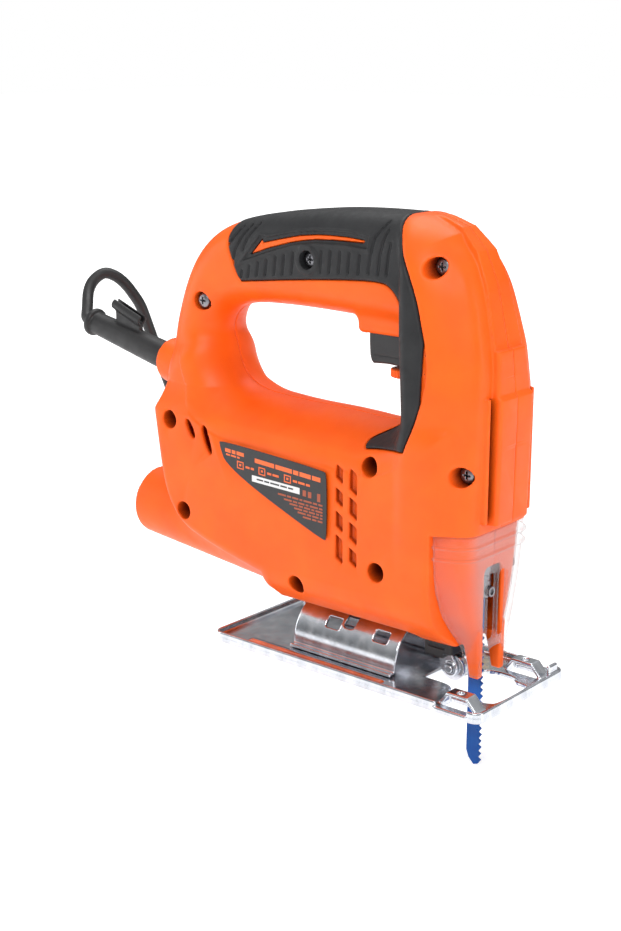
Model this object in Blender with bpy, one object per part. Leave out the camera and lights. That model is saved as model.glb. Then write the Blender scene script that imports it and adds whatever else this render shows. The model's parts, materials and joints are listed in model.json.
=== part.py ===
"""Corded jigsaw with a bevelling sole plate, built as separate named pieces.

All sizes below are in millimetres and become metres when a mesh is made.
+X is the sawing direction, +Y is the tool's left, +Z is up. The origin is the
middle of the sole plate's underside.
"""
import math

import bmesh
import bpy
from mathutils import Matrix, Vector

MM = 0.001
GAP = 0.3

# Driving dimensions
WALL = 2.6
SEAM = 0.15
BODY_HALF_WIDTH = 31.0
BODY_EDGE = 7.5
HANDLE_HALF_WIDTH = 17.5
SOLE_LENGTH = 150.0
SOLE_WIDTH = 67.0
SOLE_THICKNESS = 2.0
BEVEL_AXIS_Z = 5.0
SEGMENT_RADIUS = 18.5
MOTOR_Z = 78.0
GEAR_Z = 98.0
CRANK_RADIUS = 9.0
PLUNGER_X = 50.2
CORD_DIAMETER = 5.8
PORT_RADIUS = 16.7
GRIP_PROUD = 0.4
GRIP_DEPTH = 1.4

# Side outlines as (X, Z)
BODY_OUTLINE = [
    (-46, 23.2), (48, 23.2), (50, 60), (50, 117), (20, 117), (-20, 117.5), (-42, 120),
    (-58, 125), (-74, 131), (-92, 131), (-110, 125), (-116, 108), (-114, 92), (-111.5, 75),
    (-107, 62), (-98, 51), (-82, 45), (-64, 40), (-50, 37),
]
HANDLE_OUTER = [
    (-100, 95), (40, 95), (40, 195), (24, 201.5), (4, 201.8), (-20, 201), (-40, 199),
    (-60, 196.4), (-78, 192.4), (-91, 187), (-101, 178.5), (-108, 168), (-113.5, 155),
    (-118.5, 138), (-119, 122), (-112, 106),
]
HANDLE_HOLE = [
    (-20, 109.4), (4, 108.0), (17, 110), (23.5, 118), (25.4, 134), (24, 150), (20, 154.5),
    (0, 155.4), (-22, 156.2), (-48, 156.4), (-74, 155.2), (-86, 151), (-90.5, 142),
    (-90, 125), (-78.5, 111.5), (-50, 109.2),
]
FLARE_DEPTH = 15.0
GRIP_OUTLINE = [
    (-74, 200), (-78.5, 190), (-78.2, 183), (-73, 170), (-70, 166.6), (-33, 171), (8, 174.5),
    (15, 171.5), (20, 164), (24, 152), (21, 140), (19, 121), (14, 112), (7, 108), (5.6, 106),
    (7.5, 104), (28.5, 107.2), (31.8, 107.6), (35.5, 117.8), (38.7, 128.2), (40.6, 138.3),
    (39.6, 150), (36.2, 161.9), (33.4, 171.5), (27.7, 182.4), (23.0, 190), (17.6, 197.4),
    (15.5, 206), (-60, 206),
]

# Front form: height, rear X, side corner (X, Y), front corner (X, Y)
FRONT_SECTIONS = [
    (9.0, 30, 49.0, 12.8, 60.3, 12.6),
    (23.2, 30, 48.8, 14.0, 60.3, 12.6),
    (37.0, 30, 48.0, 22.0, 60.4, 16.0),
    (51.0, 30, 46.8, 26.5, 60.4, 19.3),
    (62.0, 30, 45.5, 28.2, 60.5, 20.6),
    (77.6, 30, 44.0, 29.4, 61.0, 21.5),
    (100.0, 30, 43.0, 30.3, 62.0, 21.5),
    (131.0, 28, 42.0, 29.6, 62.5, 20.0),
    (150.0, 26, 40.0, 28.5, 61.5, 17.0),
    (175.0, 24, 36.0, 26.4, 56.0, 13.0),
    (188.0, 22, 32.0, 23.8, 50.0, 10.0),
    (197.0, 20, 27.0, 18.5, 41.0, 7.0),
    (202.0, 17, 21.0, 10.0, 30.0, 4.0),
]
# Front band: height, front X, half width
BAND_SECTIONS = [
    (77.6, 66.4, 12.0), (131.0, 67.2, 12.0), (132.5, 65.7, 12.0), (149.0, 64.2, 10.2),
    (174.0, 58.8, 8.3), (185.0, 55.4, 7.2), (192.0, 51.5, 6.4), (198.0, 43.5, 4.7),
    (201.8, 31.0, 3.6),
]
# Edge where the body stops and the clear guard starts, as (X, Z)
GUARD_LINE = [
    (45.2, 74.2), (45.0, 57.0), (44.9, 48.0), (45.3, 42.8), (45.8, 36.8), (46.6, 31.5),
    (47.7, 27.0), (50.4, 21.0), (51.2, 14.0), (51.2, 6.0),
]

# Clamshell screws: name suffix, X, Z
SCREWS = [
    ("handle_rear", -95.4, 155.0), ("handle_top", -30.9, 179.6), ("tower_top", 38.7, 182.9),
    ("body_rear_top", -104.6, 100.2), ("body_rear_low", -96.8, 57.5),
    ("body_middle", 12.8, 97.6), ("body_low", 17.3, 52.2), ("body_bottom", -28.0, 36.2),
]
FRONT_SCREW = ("gearbox_front", 56.0, 99.9)
WELL_RADIUS = 4.25
WELL_FLOOR_Y = -12.0
FRONT_WELL_FLOOR_Y = -16.0
SCREW_BORE_RADIUS = 1.75

CHAMFER_TOP_Z = 36.5
BOSS_START = (-100, 0, 113.3)
PORT_END_X = -143.6
BEVEL_SCREW_X = -9.0
LEG_OUTLINE = [(53.6, 8.2), (57.9, 8.2), (57.9, 30), (49.8, 30), (50.4, 22), (52.4, 14)]
TRIGGER_REAR = -5.0
TRIGGER_FRONT = 18.2
TRIGGER_TOP = 158.0
SWITCH_BOTTOM = 165.2
DIAL_X = 11.0
LOCK_X = 4.0
LOCK_Z = 166.5
LEVER_X = 32.0
LEVER_Z = 45.0
LABEL_OUTLINE = [(-70.5, 96.2), (-10, 92.7), (-8.2, 91), (-8.2, 62.5), (-9.8, 61), (-66.5, 83.8),
                 (-71.5, 94.5)]
VENT_COLUMNS = [
    (-4.7, -0.8, [(87.9, 96.0), (77.4, 86.0), (66.2, 75.6), (51.9, 65.0)]),
    (2.8, 6.9, [(84.0, 95.3), (73.1, 83.1), (62.1, 72.0), (51.8, 60.5)]),
]
VENT_SLANT = 2.3
REAR_VENTS = [
    [(-95.2, 102.2), (-91.0, 102.0), (-87.4, 93.4), (-91.6, 93.6)],
    [(-85.4, 100.6), (-81.1, 100.4), (-76.8, 87.4), (-80.9, 87.8)],
]
RIM = 1.6
RIM_TOP = 4.6
FORK_OUTLINE = [
    (30, -9), (45, -9), (47, -16), (61.5, -16), (66.8, -15.5), (70.2, -12.8), (70.2, 10),
    (68.5, 11.5), (61.5, 11.8), (61.5, 16), (47, 16), (45, 9), (30, 9),
]
BRIDGE_OUTLINE = [
    (49.4, 0.4), (54.6, 7.5), (65.0, 7.5), (71.6, 0.4), (69.4, 0.4), (64.2, 5.9), (55.4, 5.9),
    (51.5, 0.4),
]
SEGMENT_X = (-38.0, 20.0)
ARM_X = 33.0
ARM_Z = 34.0
ROLLER_X = 40.3
ROLLER_Z = 7.2
ARM_OUTLINE = [
    (28.5, 36), (37, 37), (38, 24), (40, 14), (44, 8.5), (43, 4.5), (39.5, 3.4), (37, 6),
    (33.5, 13), (28.5, 22),
]
CLAMP_SCREW_Z = 45.0
BLADE_BACK = 46.6
BLADE_FRONT = 54.3
CORD_ROUTE = [
    (-189.5, 0, 133.25), (-192.6, 0.4, 134.2), (-196, 4, 138.5), (-201.5, 10, 145), (-203, 15, 150),
    (-201, 20.5, 153.4), (-198, 25, 152), (-195, 29, 148), (-192.8, 33, 142), (-191, 36.5, 135.4),
    (-190, 39.5, 127), (-188.5, 42, 118), (-185.5, 44, 107), (-181, 45.5, 95), (-176, 46.5, 82),
    (-170.5, 47.5, 69), (-165, 48.5, 56), (-159.5, 50, 43), (-155, 52, 30.5), (-152, 53.6, 20.5),
    (-148.3, 55.8, 11.5), (-143.5, 57.9, 5.2), (-138.3, 59.3, 3.2), (-132.9, 59.8, 3.1),
]
PLUG_Y = 61.0
DETENT_X = (-17.5, 9.5)

ORANGE = (0.93, 0.14, 0.012)


# ---------------------------------------------------------------- helpers
def clear_scene():
    for item in list(bpy.data.objects):
        bpy.data.objects.remove(item, do_unlink=True)


def material(name, colour, roughness, metallic=0.0, alpha=1.0):
    """One Principled material; clear plastic passes an alpha under 1."""
    mat = bpy.data.materials.new(name)
    mat.use_nodes = True
    shader = mat.node_tree.nodes["Principled BSDF"]
    shader.inputs["Base Color"].default_value = (*colour, 1.0)
    shader.inputs["Roughness"].default_value = roughness
    shader.inputs["Metallic"].default_value = metallic
    shader.inputs["Alpha"].default_value = alpha
    return mat


def add_object(name, bm, mat):
    """Make an object in metres from a bmesh that is in millimetres."""
    bmesh.ops.scale(bm, vec=(MM, MM, MM), verts=bm.verts)
    bmesh.ops.recalc_face_normals(bm, faces=bm.faces)
    mesh = bpy.data.meshes.new(name)
    bm.to_mesh(mesh)
    bm.free()
    if mat is not None:
        mesh.materials.append(mat)
    mesh.shade_smooth()
    mesh.set_sharp_from_angle(angle=math.radians(35))
    obj = bpy.data.objects.new(name, mesh)
    bpy.context.collection.objects.link(obj)
    return obj


def set_origin(obj, point):
    """Move the object's origin to a point, in millimetres, on its joint's axis."""
    shift = Vector(point) * MM
    obj.data.transform(Matrix.Translation(-shift))
    obj.location = shift
    return obj


def boolean(target, other, operation):
    """Combine two objects with the exact solver and drop the second one."""
    mod = target.modifiers.new(operation.lower(), "BOOLEAN")
    mod.operation = operation
    mod.solver = "EXACT"
    mod.object = other
    bpy.context.view_layer.update()
    graph = bpy.context.evaluated_depsgraph_get()
    result = bpy.data.meshes.new_from_object(target.evaluated_get(graph))
    target.modifiers.remove(mod)
    old = target.data
    target.data = result
    bpy.data.meshes.remove(old)
    bpy.data.objects.remove(other, do_unlink=True)
    return target


def join(target, other):
    return boolean(target, other, "UNION")


def cut(target, other):
    return boolean(target, other, "DIFFERENCE")


def keep_common(target, other):
    return boolean(target, other, "INTERSECT")


def copy_of(obj, name):
    twin = obj.copy()
    twin.data = obj.data.copy()
    twin.name = name
    twin.data.name = name
    bpy.context.collection.objects.link(twin)
    return twin


def place(plane, u, v, w):
    """A point from its place (u, v) in a plane and its distance w along the normal."""
    if plane == "xz":
        return Vector((u, w, v))
    if plane == "yz":
        return Vector((w, u, v))
    return Vector((u, v, w))


def add_prism(bm, outline, plane, low, high):
    """Extrude an outline between two distances along its plane's normal."""
    bottom = [bm.verts.new(place(plane, u, v, low)) for u, v in outline]
    top = [bm.verts.new(place(plane, u, v, high)) for u, v in outline]
    count = len(outline)
    faces = [bm.faces.new(bottom), bm.faces.new(top)]
    for i in range(count):
        j = (i + 1) % count
        faces.append(bm.faces.new((bottom[i], bottom[j], top[j], top[i])))
    return faces


def add_box(bm, low, high):
    outline = [(low[0], low[1]), (high[0], low[1]), (high[0], high[1]), (low[0], high[1])]
    return add_prism(bm, outline, "xy", low[2], high[2])


def add_rod(bm, start, end, radius, end_radius=None, sides=24):
    """A round bar or cone between two points."""
    start = Vector(start)
    end = Vector(end)
    direction = end - start
    turn = direction.to_track_quat("Z", "X").to_matrix().to_4x4()
    matrix = Matrix.Translation((start + end) / 2) @ turn
    top = radius if end_radius is None else end_radius
    bmesh.ops.create_cone(bm, cap_ends=True, segments=sides, radius1=radius, radius2=top,
                          depth=direction.length, matrix=matrix)


def add_turned(bm, profile, origin, axis, sides=32):
    """Turn a profile of (distance, radius) around an axis through origin.

    A profile that starts and ends at radius 0 gives a solid piece, any other
    one is closed into a ring.
    """
    turn = Vector(axis).to_track_quat("Z", "X").to_matrix().to_4x4()
    matrix = Matrix.Translation(Vector(origin)) @ turn
    tips = {k: bm.verts.new(matrix @ Vector((0, 0, distance)))
            for k, (distance, radius) in enumerate(profile) if radius == 0}
    rings = []
    for i in range(sides):
        angle = 2 * math.pi * i / sides
        ring = []
        for k, (distance, radius) in enumerate(profile):
            if k in tips:
                ring.append(tips[k])
                continue
            point = Vector((radius * math.cos(angle), radius * math.sin(angle), distance))
            ring.append(bm.verts.new(matrix @ point))
        rings.append(ring)
    count = len(profile) - (1 if tips else 0)
    for i in range(sides):
        here, there = rings[i], rings[(i + 1) % sides]
        for k in range(count):
            n = (k + 1) % len(profile)
            corners = [here[k], here[n], there[n], there[k]]
            bm.faces.new(list(dict.fromkeys(corners)))


def shape(build, mat=None, name="shape"):
    """Run a function that fills a bmesh and return the object that it makes."""
    bm = bmesh.new()
    build(bm)
    return add_object(name, bm, mat)


def rod(name, mat, start, end, radius, end_radius=None, sides=24):
    return shape(lambda bm: add_rod(bm, start, end, radius, end_radius, sides), mat, name)


def box(name, mat, low, high):
    return shape(lambda bm: add_box(bm, low, high), mat, name)


def prism(name, mat, outline, plane, low, high):
    return shape(lambda bm: add_prism(bm, outline, plane, low, high), mat, name)


def turned(name, mat, profile, origin, axis, sides=32):
    return shape(lambda bm: add_turned(bm, profile, origin, axis, sides), mat, name)


def rounded(points, steps=4):
    """An outline from (u, v, radius) corners, each radius turned into an arc."""
    result = []
    count = len(points)
    for i, (u, v, radius) in enumerate(points):
        here = Vector((u, v))
        if radius <= 0:
            result.append((u, v))
            continue
        before = (Vector(points[i - 1][:2]) - here).normalized()
        after = (Vector(points[(i + 1) % count][:2]) - here).normalized()
        half = before.angle(after) / 2
        reach = radius / math.tan(half)
        middle = here + (before + after).normalized() * (radius / math.sin(half))
        first = here + before * reach - middle
        last = here + after * reach - middle
        sweep = math.atan2(first.cross(last), first.dot(last))
        for step in range(steps + 1):
            spoke = Matrix.Rotation(sweep * step / steps, 2) @ first
            result.append(tuple(middle + spoke))
    return result


def slot_outline(u, v, length, width, steps=6):
    """A slot with round ends, running along the first direction."""
    radius = width / 2
    reach = length / 2 - radius
    points = []
    for side in (1, -1):
        for step in range(steps + 1):
            angle = math.pi * (step / steps - 0.5)
            points.append((u + side * (reach + radius * math.cos(angle)),
                           v + side * radius * math.sin(angle)))
    return points


def offset(outline, distance):
    """Move an outline's sides inwards by a distance, with sharp corners."""
    area = 0.0
    count = len(outline)
    for i in range(count):
        x0, y0 = outline[i]
        x1, y1 = outline[(i + 1) % count]
        area += x0 * y1 - x1 * y0
    sign = 1.0 if area > 0 else -1.0
    result = []
    for i in range(count):
        here = Vector(outline[i])
        back = (here - Vector(outline[i - 1])).normalized()
        ahead = (Vector(outline[(i + 1) % count]) - here).normalized()
        normal_back = Vector((-back.y, back.x)) * sign
        normal_ahead = Vector((-ahead.y, ahead.x)) * sign
        bisector = (normal_back + normal_ahead).normalized()
        reach = distance / max(0.3, bisector.dot(normal_back))
        result.append(tuple(here + bisector * reach))
    return result


def rounded_slab(outline, half_width, edge_radius, steps=3):
    """An outline extruded to both sides of Y = 0 with rounded outer edges."""
    bm = bmesh.new()
    faces = add_prism(bm, outline, "xz", -half_width, half_width)
    edges = set(faces[0].edges) | set(faces[1].edges)
    bmesh.ops.recalc_face_normals(bm, faces=bm.faces)
    bmesh.ops.bevel(bm, geom=list(edges), offset=edge_radius, segments=steps, profile=0.5,
                    affect="EDGES", clamp_overlap=False)
    bmesh.ops.triangulate(bm, faces=bm.faces)
    return add_object("slab", bm, None)


def lofted(sections):
    """Join a stack of horizontal outlines, each a list of points, into one solid."""
    bm = bmesh.new()
    rings = [[bm.verts.new(point) for point in section] for section in sections]
    count = len(rings[0])
    bm.faces.new(rings[0])
    bm.faces.new(rings[-1])
    for low, high in zip(rings, rings[1:]):
        for i in range(count):
            j = (i + 1) % count
            bm.faces.new((low[i], low[j], high[j], high[i]))
    bmesh.ops.triangulate(bm, faces=bm.faces)
    return add_object("loft", bm, None)


# ---------------------------------------------------------------- housing form
def front_section(row, inset):
    z, rear, side_x, side_y, front_x, front_y = row
    half = [(rear + inset, side_y - inset), (side_x - inset * 0.4, side_y - inset),
            (front_x - inset, front_y - inset * 0.6)]
    mirrored = [(x, -y) for x, y in reversed(half)]
    return [(x, y, z) for x, y in half + mirrored]


def front_form(inset, low=23.2, high=202.0):
    """The tower and the nose below it, between two heights, moved in by an inset."""
    top = FRONT_SECTIONS[-1][0]
    rows = [row for row in FRONT_SECTIONS if low < row[0] < high]
    rows = [section_at(low), *rows, section_at(high)]
    if high == top:
        rows[-1] = [top - inset, *rows[-1][1:]]
    return lofted([front_section(row, inset) for row in rows])


def section_at(z):
    """The front form's section at any height, between its listed rows."""
    for low, high in zip(FRONT_SECTIONS, FRONT_SECTIONS[1:]):
        if low[0] <= z <= high[0]:
            t = (z - low[0]) / (high[0] - low[0])
            return [a + (b - a) * t for a, b in zip(low, high)]
    edge = FRONT_SECTIONS[0] if z < FRONT_SECTIONS[0][0] else FRONT_SECTIONS[-1]
    return [z, *edge[1:]]


def band_form(inset):
    sections = []
    for z, front_x, half in BAND_SECTIONS:
        level = z
        if z == BAND_SECTIONS[0][0]:
            level = z + max(inset, 0)
        if z == BAND_SECTIONS[-1][0]:
            level = z - inset
        width = half - inset
        rear = min(40, front_x - 12)
        sections.append([(rear, -width, level), (front_x - inset, -width, level),
                         (front_x - inset, width, level), (rear, width, level)])
    return lofted(sections)


def port_axis(x):
    """Height of the dust port's axis, which rises towards its open rear end."""
    return 48.3 - (x + 143.6) * 0.0966


def opening(inset):
    """The handle's opening, flared to both sides in an elliptical sweep around its rim."""
    outline = offset(corner_cut(HANDLE_HOLE), -inset)
    count = len(outline)
    rings = []
    for share in (-2.0, -1.0, -0.9, -0.6, 0.6, 0.9, 1.0, 2.0):
        sweep = 1 - math.sqrt(max(0.0, 1 - share * share))
        ring = []
        for i, (x, z) in enumerate(outline):
            along = Vector(outline[(i + 1) % count]) - Vector(outline[i - 1])
            normal = Vector((along.y, -along.x)).normalized()
            below = clamp(-normal.y * 2.5 - 0.5) * clamp((128 - z) / 10)
            ahead = clamp(normal.x * 2.5 - 0.5)
            width = HANDLE_HALF_WIDTH + (BODY_HALF_WIDTH - HANDLE_HALF_WIDTH) * below - inset
            depth = FLARE_DEPTH * (1 - 0.8 * ahead)
            ring.append((x + normal.x * depth * sweep, share * width, z + normal.y * depth * sweep))
        rings.append(ring)
    return lofted(rings)


def clamp(value):
    return min(1.0, max(0.0, value))


def corner_cut(outline):
    """Swap each corner of an outline for two points on its sides."""
    result = []
    count = len(outline)
    for i, point in enumerate(outline):
        here = Vector(point)
        result.append(tuple(here.lerp(Vector(outline[i - 1]), 0.25)))
        result.append(tuple(here.lerp(Vector(outline[(i + 1) % count]), 0.25)))
    return result


def housing_form(inset):
    """The whole outer form of the housing, moved inwards by an inset."""
    form = rounded_slab(offset(BODY_OUTLINE, inset), BODY_HALF_WIDTH - inset, BODY_EDGE - inset)
    for side in (-1, 1):
        cut(form, chamfer_wedge(side, inset))
    join(form, front_form(inset))
    join(form, band_form(inset))
    join(form, rounded_slab(offset(HANDLE_OUTER, inset), HANDLE_HALF_WIDTH - inset, 10 - inset))
    join(form, rod("boss", None, BOSS_START, boss_end(inset), 11.5 - inset, 10.5 - inset))
    if inset <= 0:
        start = (-56, 0, port_axis(-56))
        end = (PORT_END_X, 0, port_axis(PORT_END_X))
        join(form, rod("port", None, start, end, PORT_RADIUS - inset, sides=32))
    cut(form, opening(inset))
    return form


def chamfer_wedge(side, inset):
    """A wedge that takes the body's lower edge off at 45 degrees, for the tilted sole."""
    reach = 60
    y = BODY_HALF_WIDTH - inset
    z = CHAMFER_TOP_Z + inset * (math.sqrt(2) - 1)
    outline = [(side * (y + reach), z + reach), (side * (y - reach), z - reach),
               (side * (y + reach), z - reach)]
    return prism("wedge", None, outline, "yz", -150, 60)


def boss_end(inset):
    return (-133 + inset, 0, cord_axis(-133 + inset))


def cord_axis(x):
    """Height of the cord sleeve's axis, which rises to the rear."""
    return 121.0 - (x + 133) * 0.217


# ---------------------------------------------------------------- housing
def half_space(side, margin):
    """Everything on one side of the seam, up to a margin from it."""
    low, high = sorted((side * margin, side * 80))
    return box("side", None, (-260, low, -60), (120, high, 240))


def make_inner_ribs():
    """Ribs, screw bosses and the dust duct that stand inside the housing."""
    inner = box("lower_rib", None, (36, -26, 76.3), (58, 26, 82.7))
    join(inner, box("upper_rib", None, (36, -26, 127), (58, 26, 135)))
    join(inner, box("rear_rib", None, (-75.5, -30, 62), (-69.8, 30, 94)))
    join(inner, rod("bevel_boss", None, (BEVEL_SCREW_X, 0, 20), (BEVEL_SCREW_X, 0, 36), 6))
    join(inner, rod("duct", None, (-108, 0, 37.2), (-46, 0, 31.2), 7.8))
    for side in (-1, 1):
        low, high = sorted((side * 24, side * 30))
        for x in (18.2, 23.8):
            join(inner, box("bracket_rib", None, (x, low, 62), (x + 1.5, high, 112)))
        for x in (-44.0, -7.6):
            low, high = sorted((side * 21, side * 30))
            join(inner, box("stator_rib", None, (x, low, 66), (x + 1.6, high, 90)))
    for _, x, z in SCREWS:
        join(inner, rod("boss", None, (x, -40, z), (x, 0, z), WELL_RADIUS + 1.6, sides=16))
        join(inner, rod("boss", None, (x, -1, z), (x, 40, z), 4.4, sides=12))
    _, x, z = FRONT_SCREW
    join(inner, rod("boss", None, (x, -40, z), (x, -7, z), WELL_RADIUS + 1.4, sides=16))
    return keep_common(inner, housing_form(WALL - 0.5))


def drill_screw(form, x, z, floor_y, end_y):
    """The counterbore for a screw's head and the hole for its thread."""
    cut(form, rod("well", None, (x, -45, z), (x, floor_y, z), WELL_RADIUS, sides=16))
    cut(form, rod("bore", None, (x, floor_y - 2, z), (x, end_y, z), SCREW_BORE_RADIUS, sides=10))


def make_housing():
    """Both clamshell halves, cut from one hollow form with its ribs and bosses."""
    form = housing_form(0)
    cut(form, grip_layer(-3.0, GRIP_DEPTH + GAP, offset(GRIP_OUTLINE, -GAP)))
    cut(form, prism("guard_zone", None, guard_zone(0), "xz", -60, 60))
    join(form, front_form(2.6, high=80.0))
    for side in (-1, 1):
        low, high = sorted((side * 6.2, side * 10.2))
        join(form, prism("leg", None, LEG_OUTLINE, "xz", low, high))
    join(form, box("shroud", None, (TRIGGER_REAR - 5.0, -9.3, 149.6),
                   (TRIGGER_FRONT + 2.3, 9.3, SWITCH_BOTTOM - 0.7)))
    hollow = housing_form(WALL)
    cut(hollow, prism("guard_zone", None, guard_zone(WALL), "xz", -60, 60))
    join(hollow, front_form(2.6 + 1.8, low=26.0, high=82.0))
    cut(hollow, box("shroud", None, (TRIGGER_REAR - 5.0, -9.3, 149.6),
                    (TRIGGER_FRONT + 2.3, 9.3, SWITCH_BOTTOM - 0.7)))
    low, high = MOTOR_Z - 25.3, MOTOR_Z + 25.3
    bed = rounded([(-25.3, low, 9), (25.3, low, 9), (25.3, high, 9), (-25.3, high, 9)])
    join(hollow, prism("core_bed", None, bed, "yz", -42.4, -7.6))
    cut(form, hollow)
    join(form, make_inner_ribs())

    cut(form, rod("lower_bore", None, (PLUNGER_X, 0, 70), (PLUNGER_X, 0, 90), 6.9))
    cut(form, rod("upper_bore", None, (PLUNGER_X, 0, 120), (PLUNGER_X, 0, 140), 6.9))
    cut(form, rod("rear_bore", None, (-80, 0, MOTOR_Z), (-66, 0, MOTOR_Z), 9.8))
    cut(form, rod("bevel_bore", None, (BEVEL_SCREW_X, 0, 15), (BEVEL_SCREW_X, 0, 35), 2.8))
    cut(form, rod("cradle", None, (-60, 0, BEVEL_AXIS_Z), (21, 0, BEVEL_AXIS_Z),
                  SEGMENT_RADIUS + 0.4, sides=48))
    cut(form, box("arm_slot", None, (22.5, -8, 10), (44.5, 8, 33)))
    cut(form, box("blade_slot", None, (40, -5.9, 0), (70, 5.9, 30)))
    cut(form, prism("nose_window", None, rounded([(-6.6, 24, 0), (6.6, 24, 0), (6.6, 57, 5),
                                                  (-6.6, 57, 5)]), "yz", 52, 80))
    cut(form, rod("sleeve_bore", None, (-106, 0, cord_axis(-106)), (-140, 0, cord_axis(-140)),
                  7.1, sides=24))
    cut(form, rod("port_bore", None, (-104, 0, port_axis(-104)), (-150, 0, port_axis(-150)),
                  14.3, sides=32))
    cut(form, rod("duct", None, (-106, 0, 37.0), (-50.5, 0, 31.6), 6.0))
    cut(form, box("duct_mouth", None, (-58, -5, 15), (-51, 5, 32)))
    cut(form, box("trigger_slot", None, (TRIGGER_REAR - 0.4, -7.4, 140),
                  (TRIGGER_FRONT + 0.4, 7.4, 170)))
    for _, x, z in SCREWS:
        drill_screw(form, x, z, WELL_FLOOR_Y, 11)
    drill_screw(form, FRONT_SCREW[1], FRONT_SCREW[2], FRONT_WELL_FLOOR_Y, -6)
    for outline in vent_outlines():
        for side in (-1, 1):
            low, high = sorted((side * 26.5, side * 40))
            cut(form, prism("vent", None, outline, "xz", low, high))

    left = copy_of(form, "housing_left")
    cut(form, half_space(1, -SEAM))
    form.name = "housing_right"
    cut(left, half_space(-1, -SEAM))
    cut(left, rod("lock_hole", None, (LOCK_X, 8, LOCK_Z), (LOCK_X, 30, LOCK_Z), 4.5))
    cut(left, rod("lever_hole", None, (LEVER_X, 20, LEVER_Z), (LEVER_X, 40, LEVER_Z), 4.4))
    cut(form, prism("label_recess", None, offset(LABEL_OUTLINE, -0.3), "xz", -40, -30.4))
    for obj in (form, left):
        obj.data.materials.clear()
        obj.data.materials.append(MAT["orange"])
        smooth(obj)
    return form, left


def smooth(obj):
    obj.data.shade_smooth()
    obj.data.set_sharp_from_angle(angle=math.radians(35))


def guard_zone(shift):
    """The side outline of the room that the clear guard takes."""
    edge = [(x - shift, z) for x, z in GUARD_LINE]
    edge[0] = (edge[0][0], edge[0][1] + shift)
    return [*edge, (90, 0), (90, edge[0][1])]


def vent_outlines():
    """Slots over the fan and the brushes, as slanted outlines."""
    outlines = []
    for x0, x1, spans in VENT_COLUMNS:
        for low, high in spans:
            outlines.append([(x0, low + VENT_SLANT), (x1, low), (x1, high - VENT_SLANT), (x0, high)])
    for corners in REAR_VENTS:
        outlines.append(rounded([(x, z, 1.2) for x, z in corners]))
    return outlines


# ---------------------------------------------------------------- grips
def grip_layer(outer_inset, inner_inset, outline):
    """The part of the housing's skin between two insets, inside a side outline."""
    layer = housing_form(outer_inset)
    keep_common(layer, prism("region", None, outline, "xz", -60, 60))
    cut(layer, housing_form(inner_inset))
    return layer


def make_grips():
    """Soft overmould on the handle, one piece on each clamshell half."""
    whole = grip_layer(-GRIP_PROUD, GRIP_DEPTH, GRIP_OUTLINE)
    cut(whole, rod("well", None, (-30.9, -45, 179.6), (-30.9, 0, 179.6), WELL_RADIUS + 0.2))
    left = copy_of(whole, "grip_left")
    cut(whole, half_space(1, -SEAM))
    whole.name = "grip_right"
    cut(left, half_space(-1, -SEAM))
    for obj in (whole, left):
        obj.data.materials.clear()
        obj.data.materials.append(MAT["black"])
        smooth(obj)
    return whole, left


# ---------------------------------------------------------------- guard
def make_guard():
    """Clear finger guard clipped over the nose, open below and behind."""
    top = 73.9
    guard = front_form(0.2, low=9.5, high=top)
    for z in (64.0, 69.2):
        join(guard, front_form(-1.0, low=z - 0.6, high=z + 0.6))
    cut(guard, front_form(2.0, low=9.0, high=77.0))
    cut(guard, prism("behind", None, [(0, 0), *[(x + GAP, z) for x, z in reversed(GUARD_LINE)],
                                      (GUARD_LINE[0][0] + GAP, 90), (0, 90)], "xz", -60, 60))
    for side in (-1, 1):
        window = rounded([(side * 0.9, 25, 2.6), (side * 7.0, 25, 2.6), (side * 7.0, 55, 2.6),
                          (side * 0.9, 55, 2.6)])
        cut(guard, prism("window", None, window, "yz", 52, 70))
    arch = rounded([(-9.6, 0, 0), (9.6, 0, 0), (9.6, 21.5, 8), (-9.6, 21.5, 8)])
    cut(guard, prism("arch", None, arch, "yz", 40, 70))
    guard.name = "clear_guard"
    guard.data.materials.clear()
    guard.data.materials.append(MAT["clear"])
    smooth(guard)
    return guard


# ---------------------------------------------------------------- sole plate
def make_shoe():
    """Stamped sole plate with a rim, a blade fork and two fence bridges."""
    half_x = SOLE_LENGTH / 2
    half_y = SOLE_WIDTH / 2
    corners = [(-half_x, -half_y), (half_x, -half_y), (half_x, half_y), (-half_x, half_y)]
    outer = rounded([(x, y, 5.0) for x, y in corners])
    inner = rounded([(x - math.copysign(RIM, x), y - math.copysign(RIM, y), 5.0 - RIM)
                     for x, y in corners])
    shoe = prism("shoe", MAT["steel"], outer, "xy", 0, RIM_TOP)
    cut(shoe, prism("tray", None, inner, "xy", SOLE_THICKNESS, 20))
    cut(shoe, prism("fork", None, FORK_OUTLINE, "xy", -5, 1.9 + 5))
    cut(shoe, prism("access", None, slot_outline(BEVEL_SCREW_X, 0, 10, 9.9), "xy", -5, 9))
    for side in (-1, 1):
        low, high = sorted((side * 21.0, side * 28.0))
        hole_low, hole_high = sorted((side * 20.6, side * 28.4))
        cut(shoe, box("under_bridge", None, (52.6, hole_low, -5), (68.4, hole_high, 5)))
        join(shoe, prism("bridge", None, BRIDGE_OUTLINE, "xz", low, high))
        cut(shoe, rod("thread", None, (59.8, side * 24.5, 4), (59.8, side * 24.5, 12), 1.6,
                      sides=12))
        notch_low, notch_high = sorted((side * (half_y - 3), side * (half_y + 3)))
        cut(shoe, box("rim_notch", None, (52.6, notch_low, SOLE_THICKNESS),
                      (68.4, notch_high, 9)))
    join(shoe, box("tab", None, (71.5, 22.5, 1), (73.4, 29.5, 8)))
    smooth(shoe)
    return set_origin(shoe, (0, 0, BEVEL_AXIS_Z))


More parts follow.
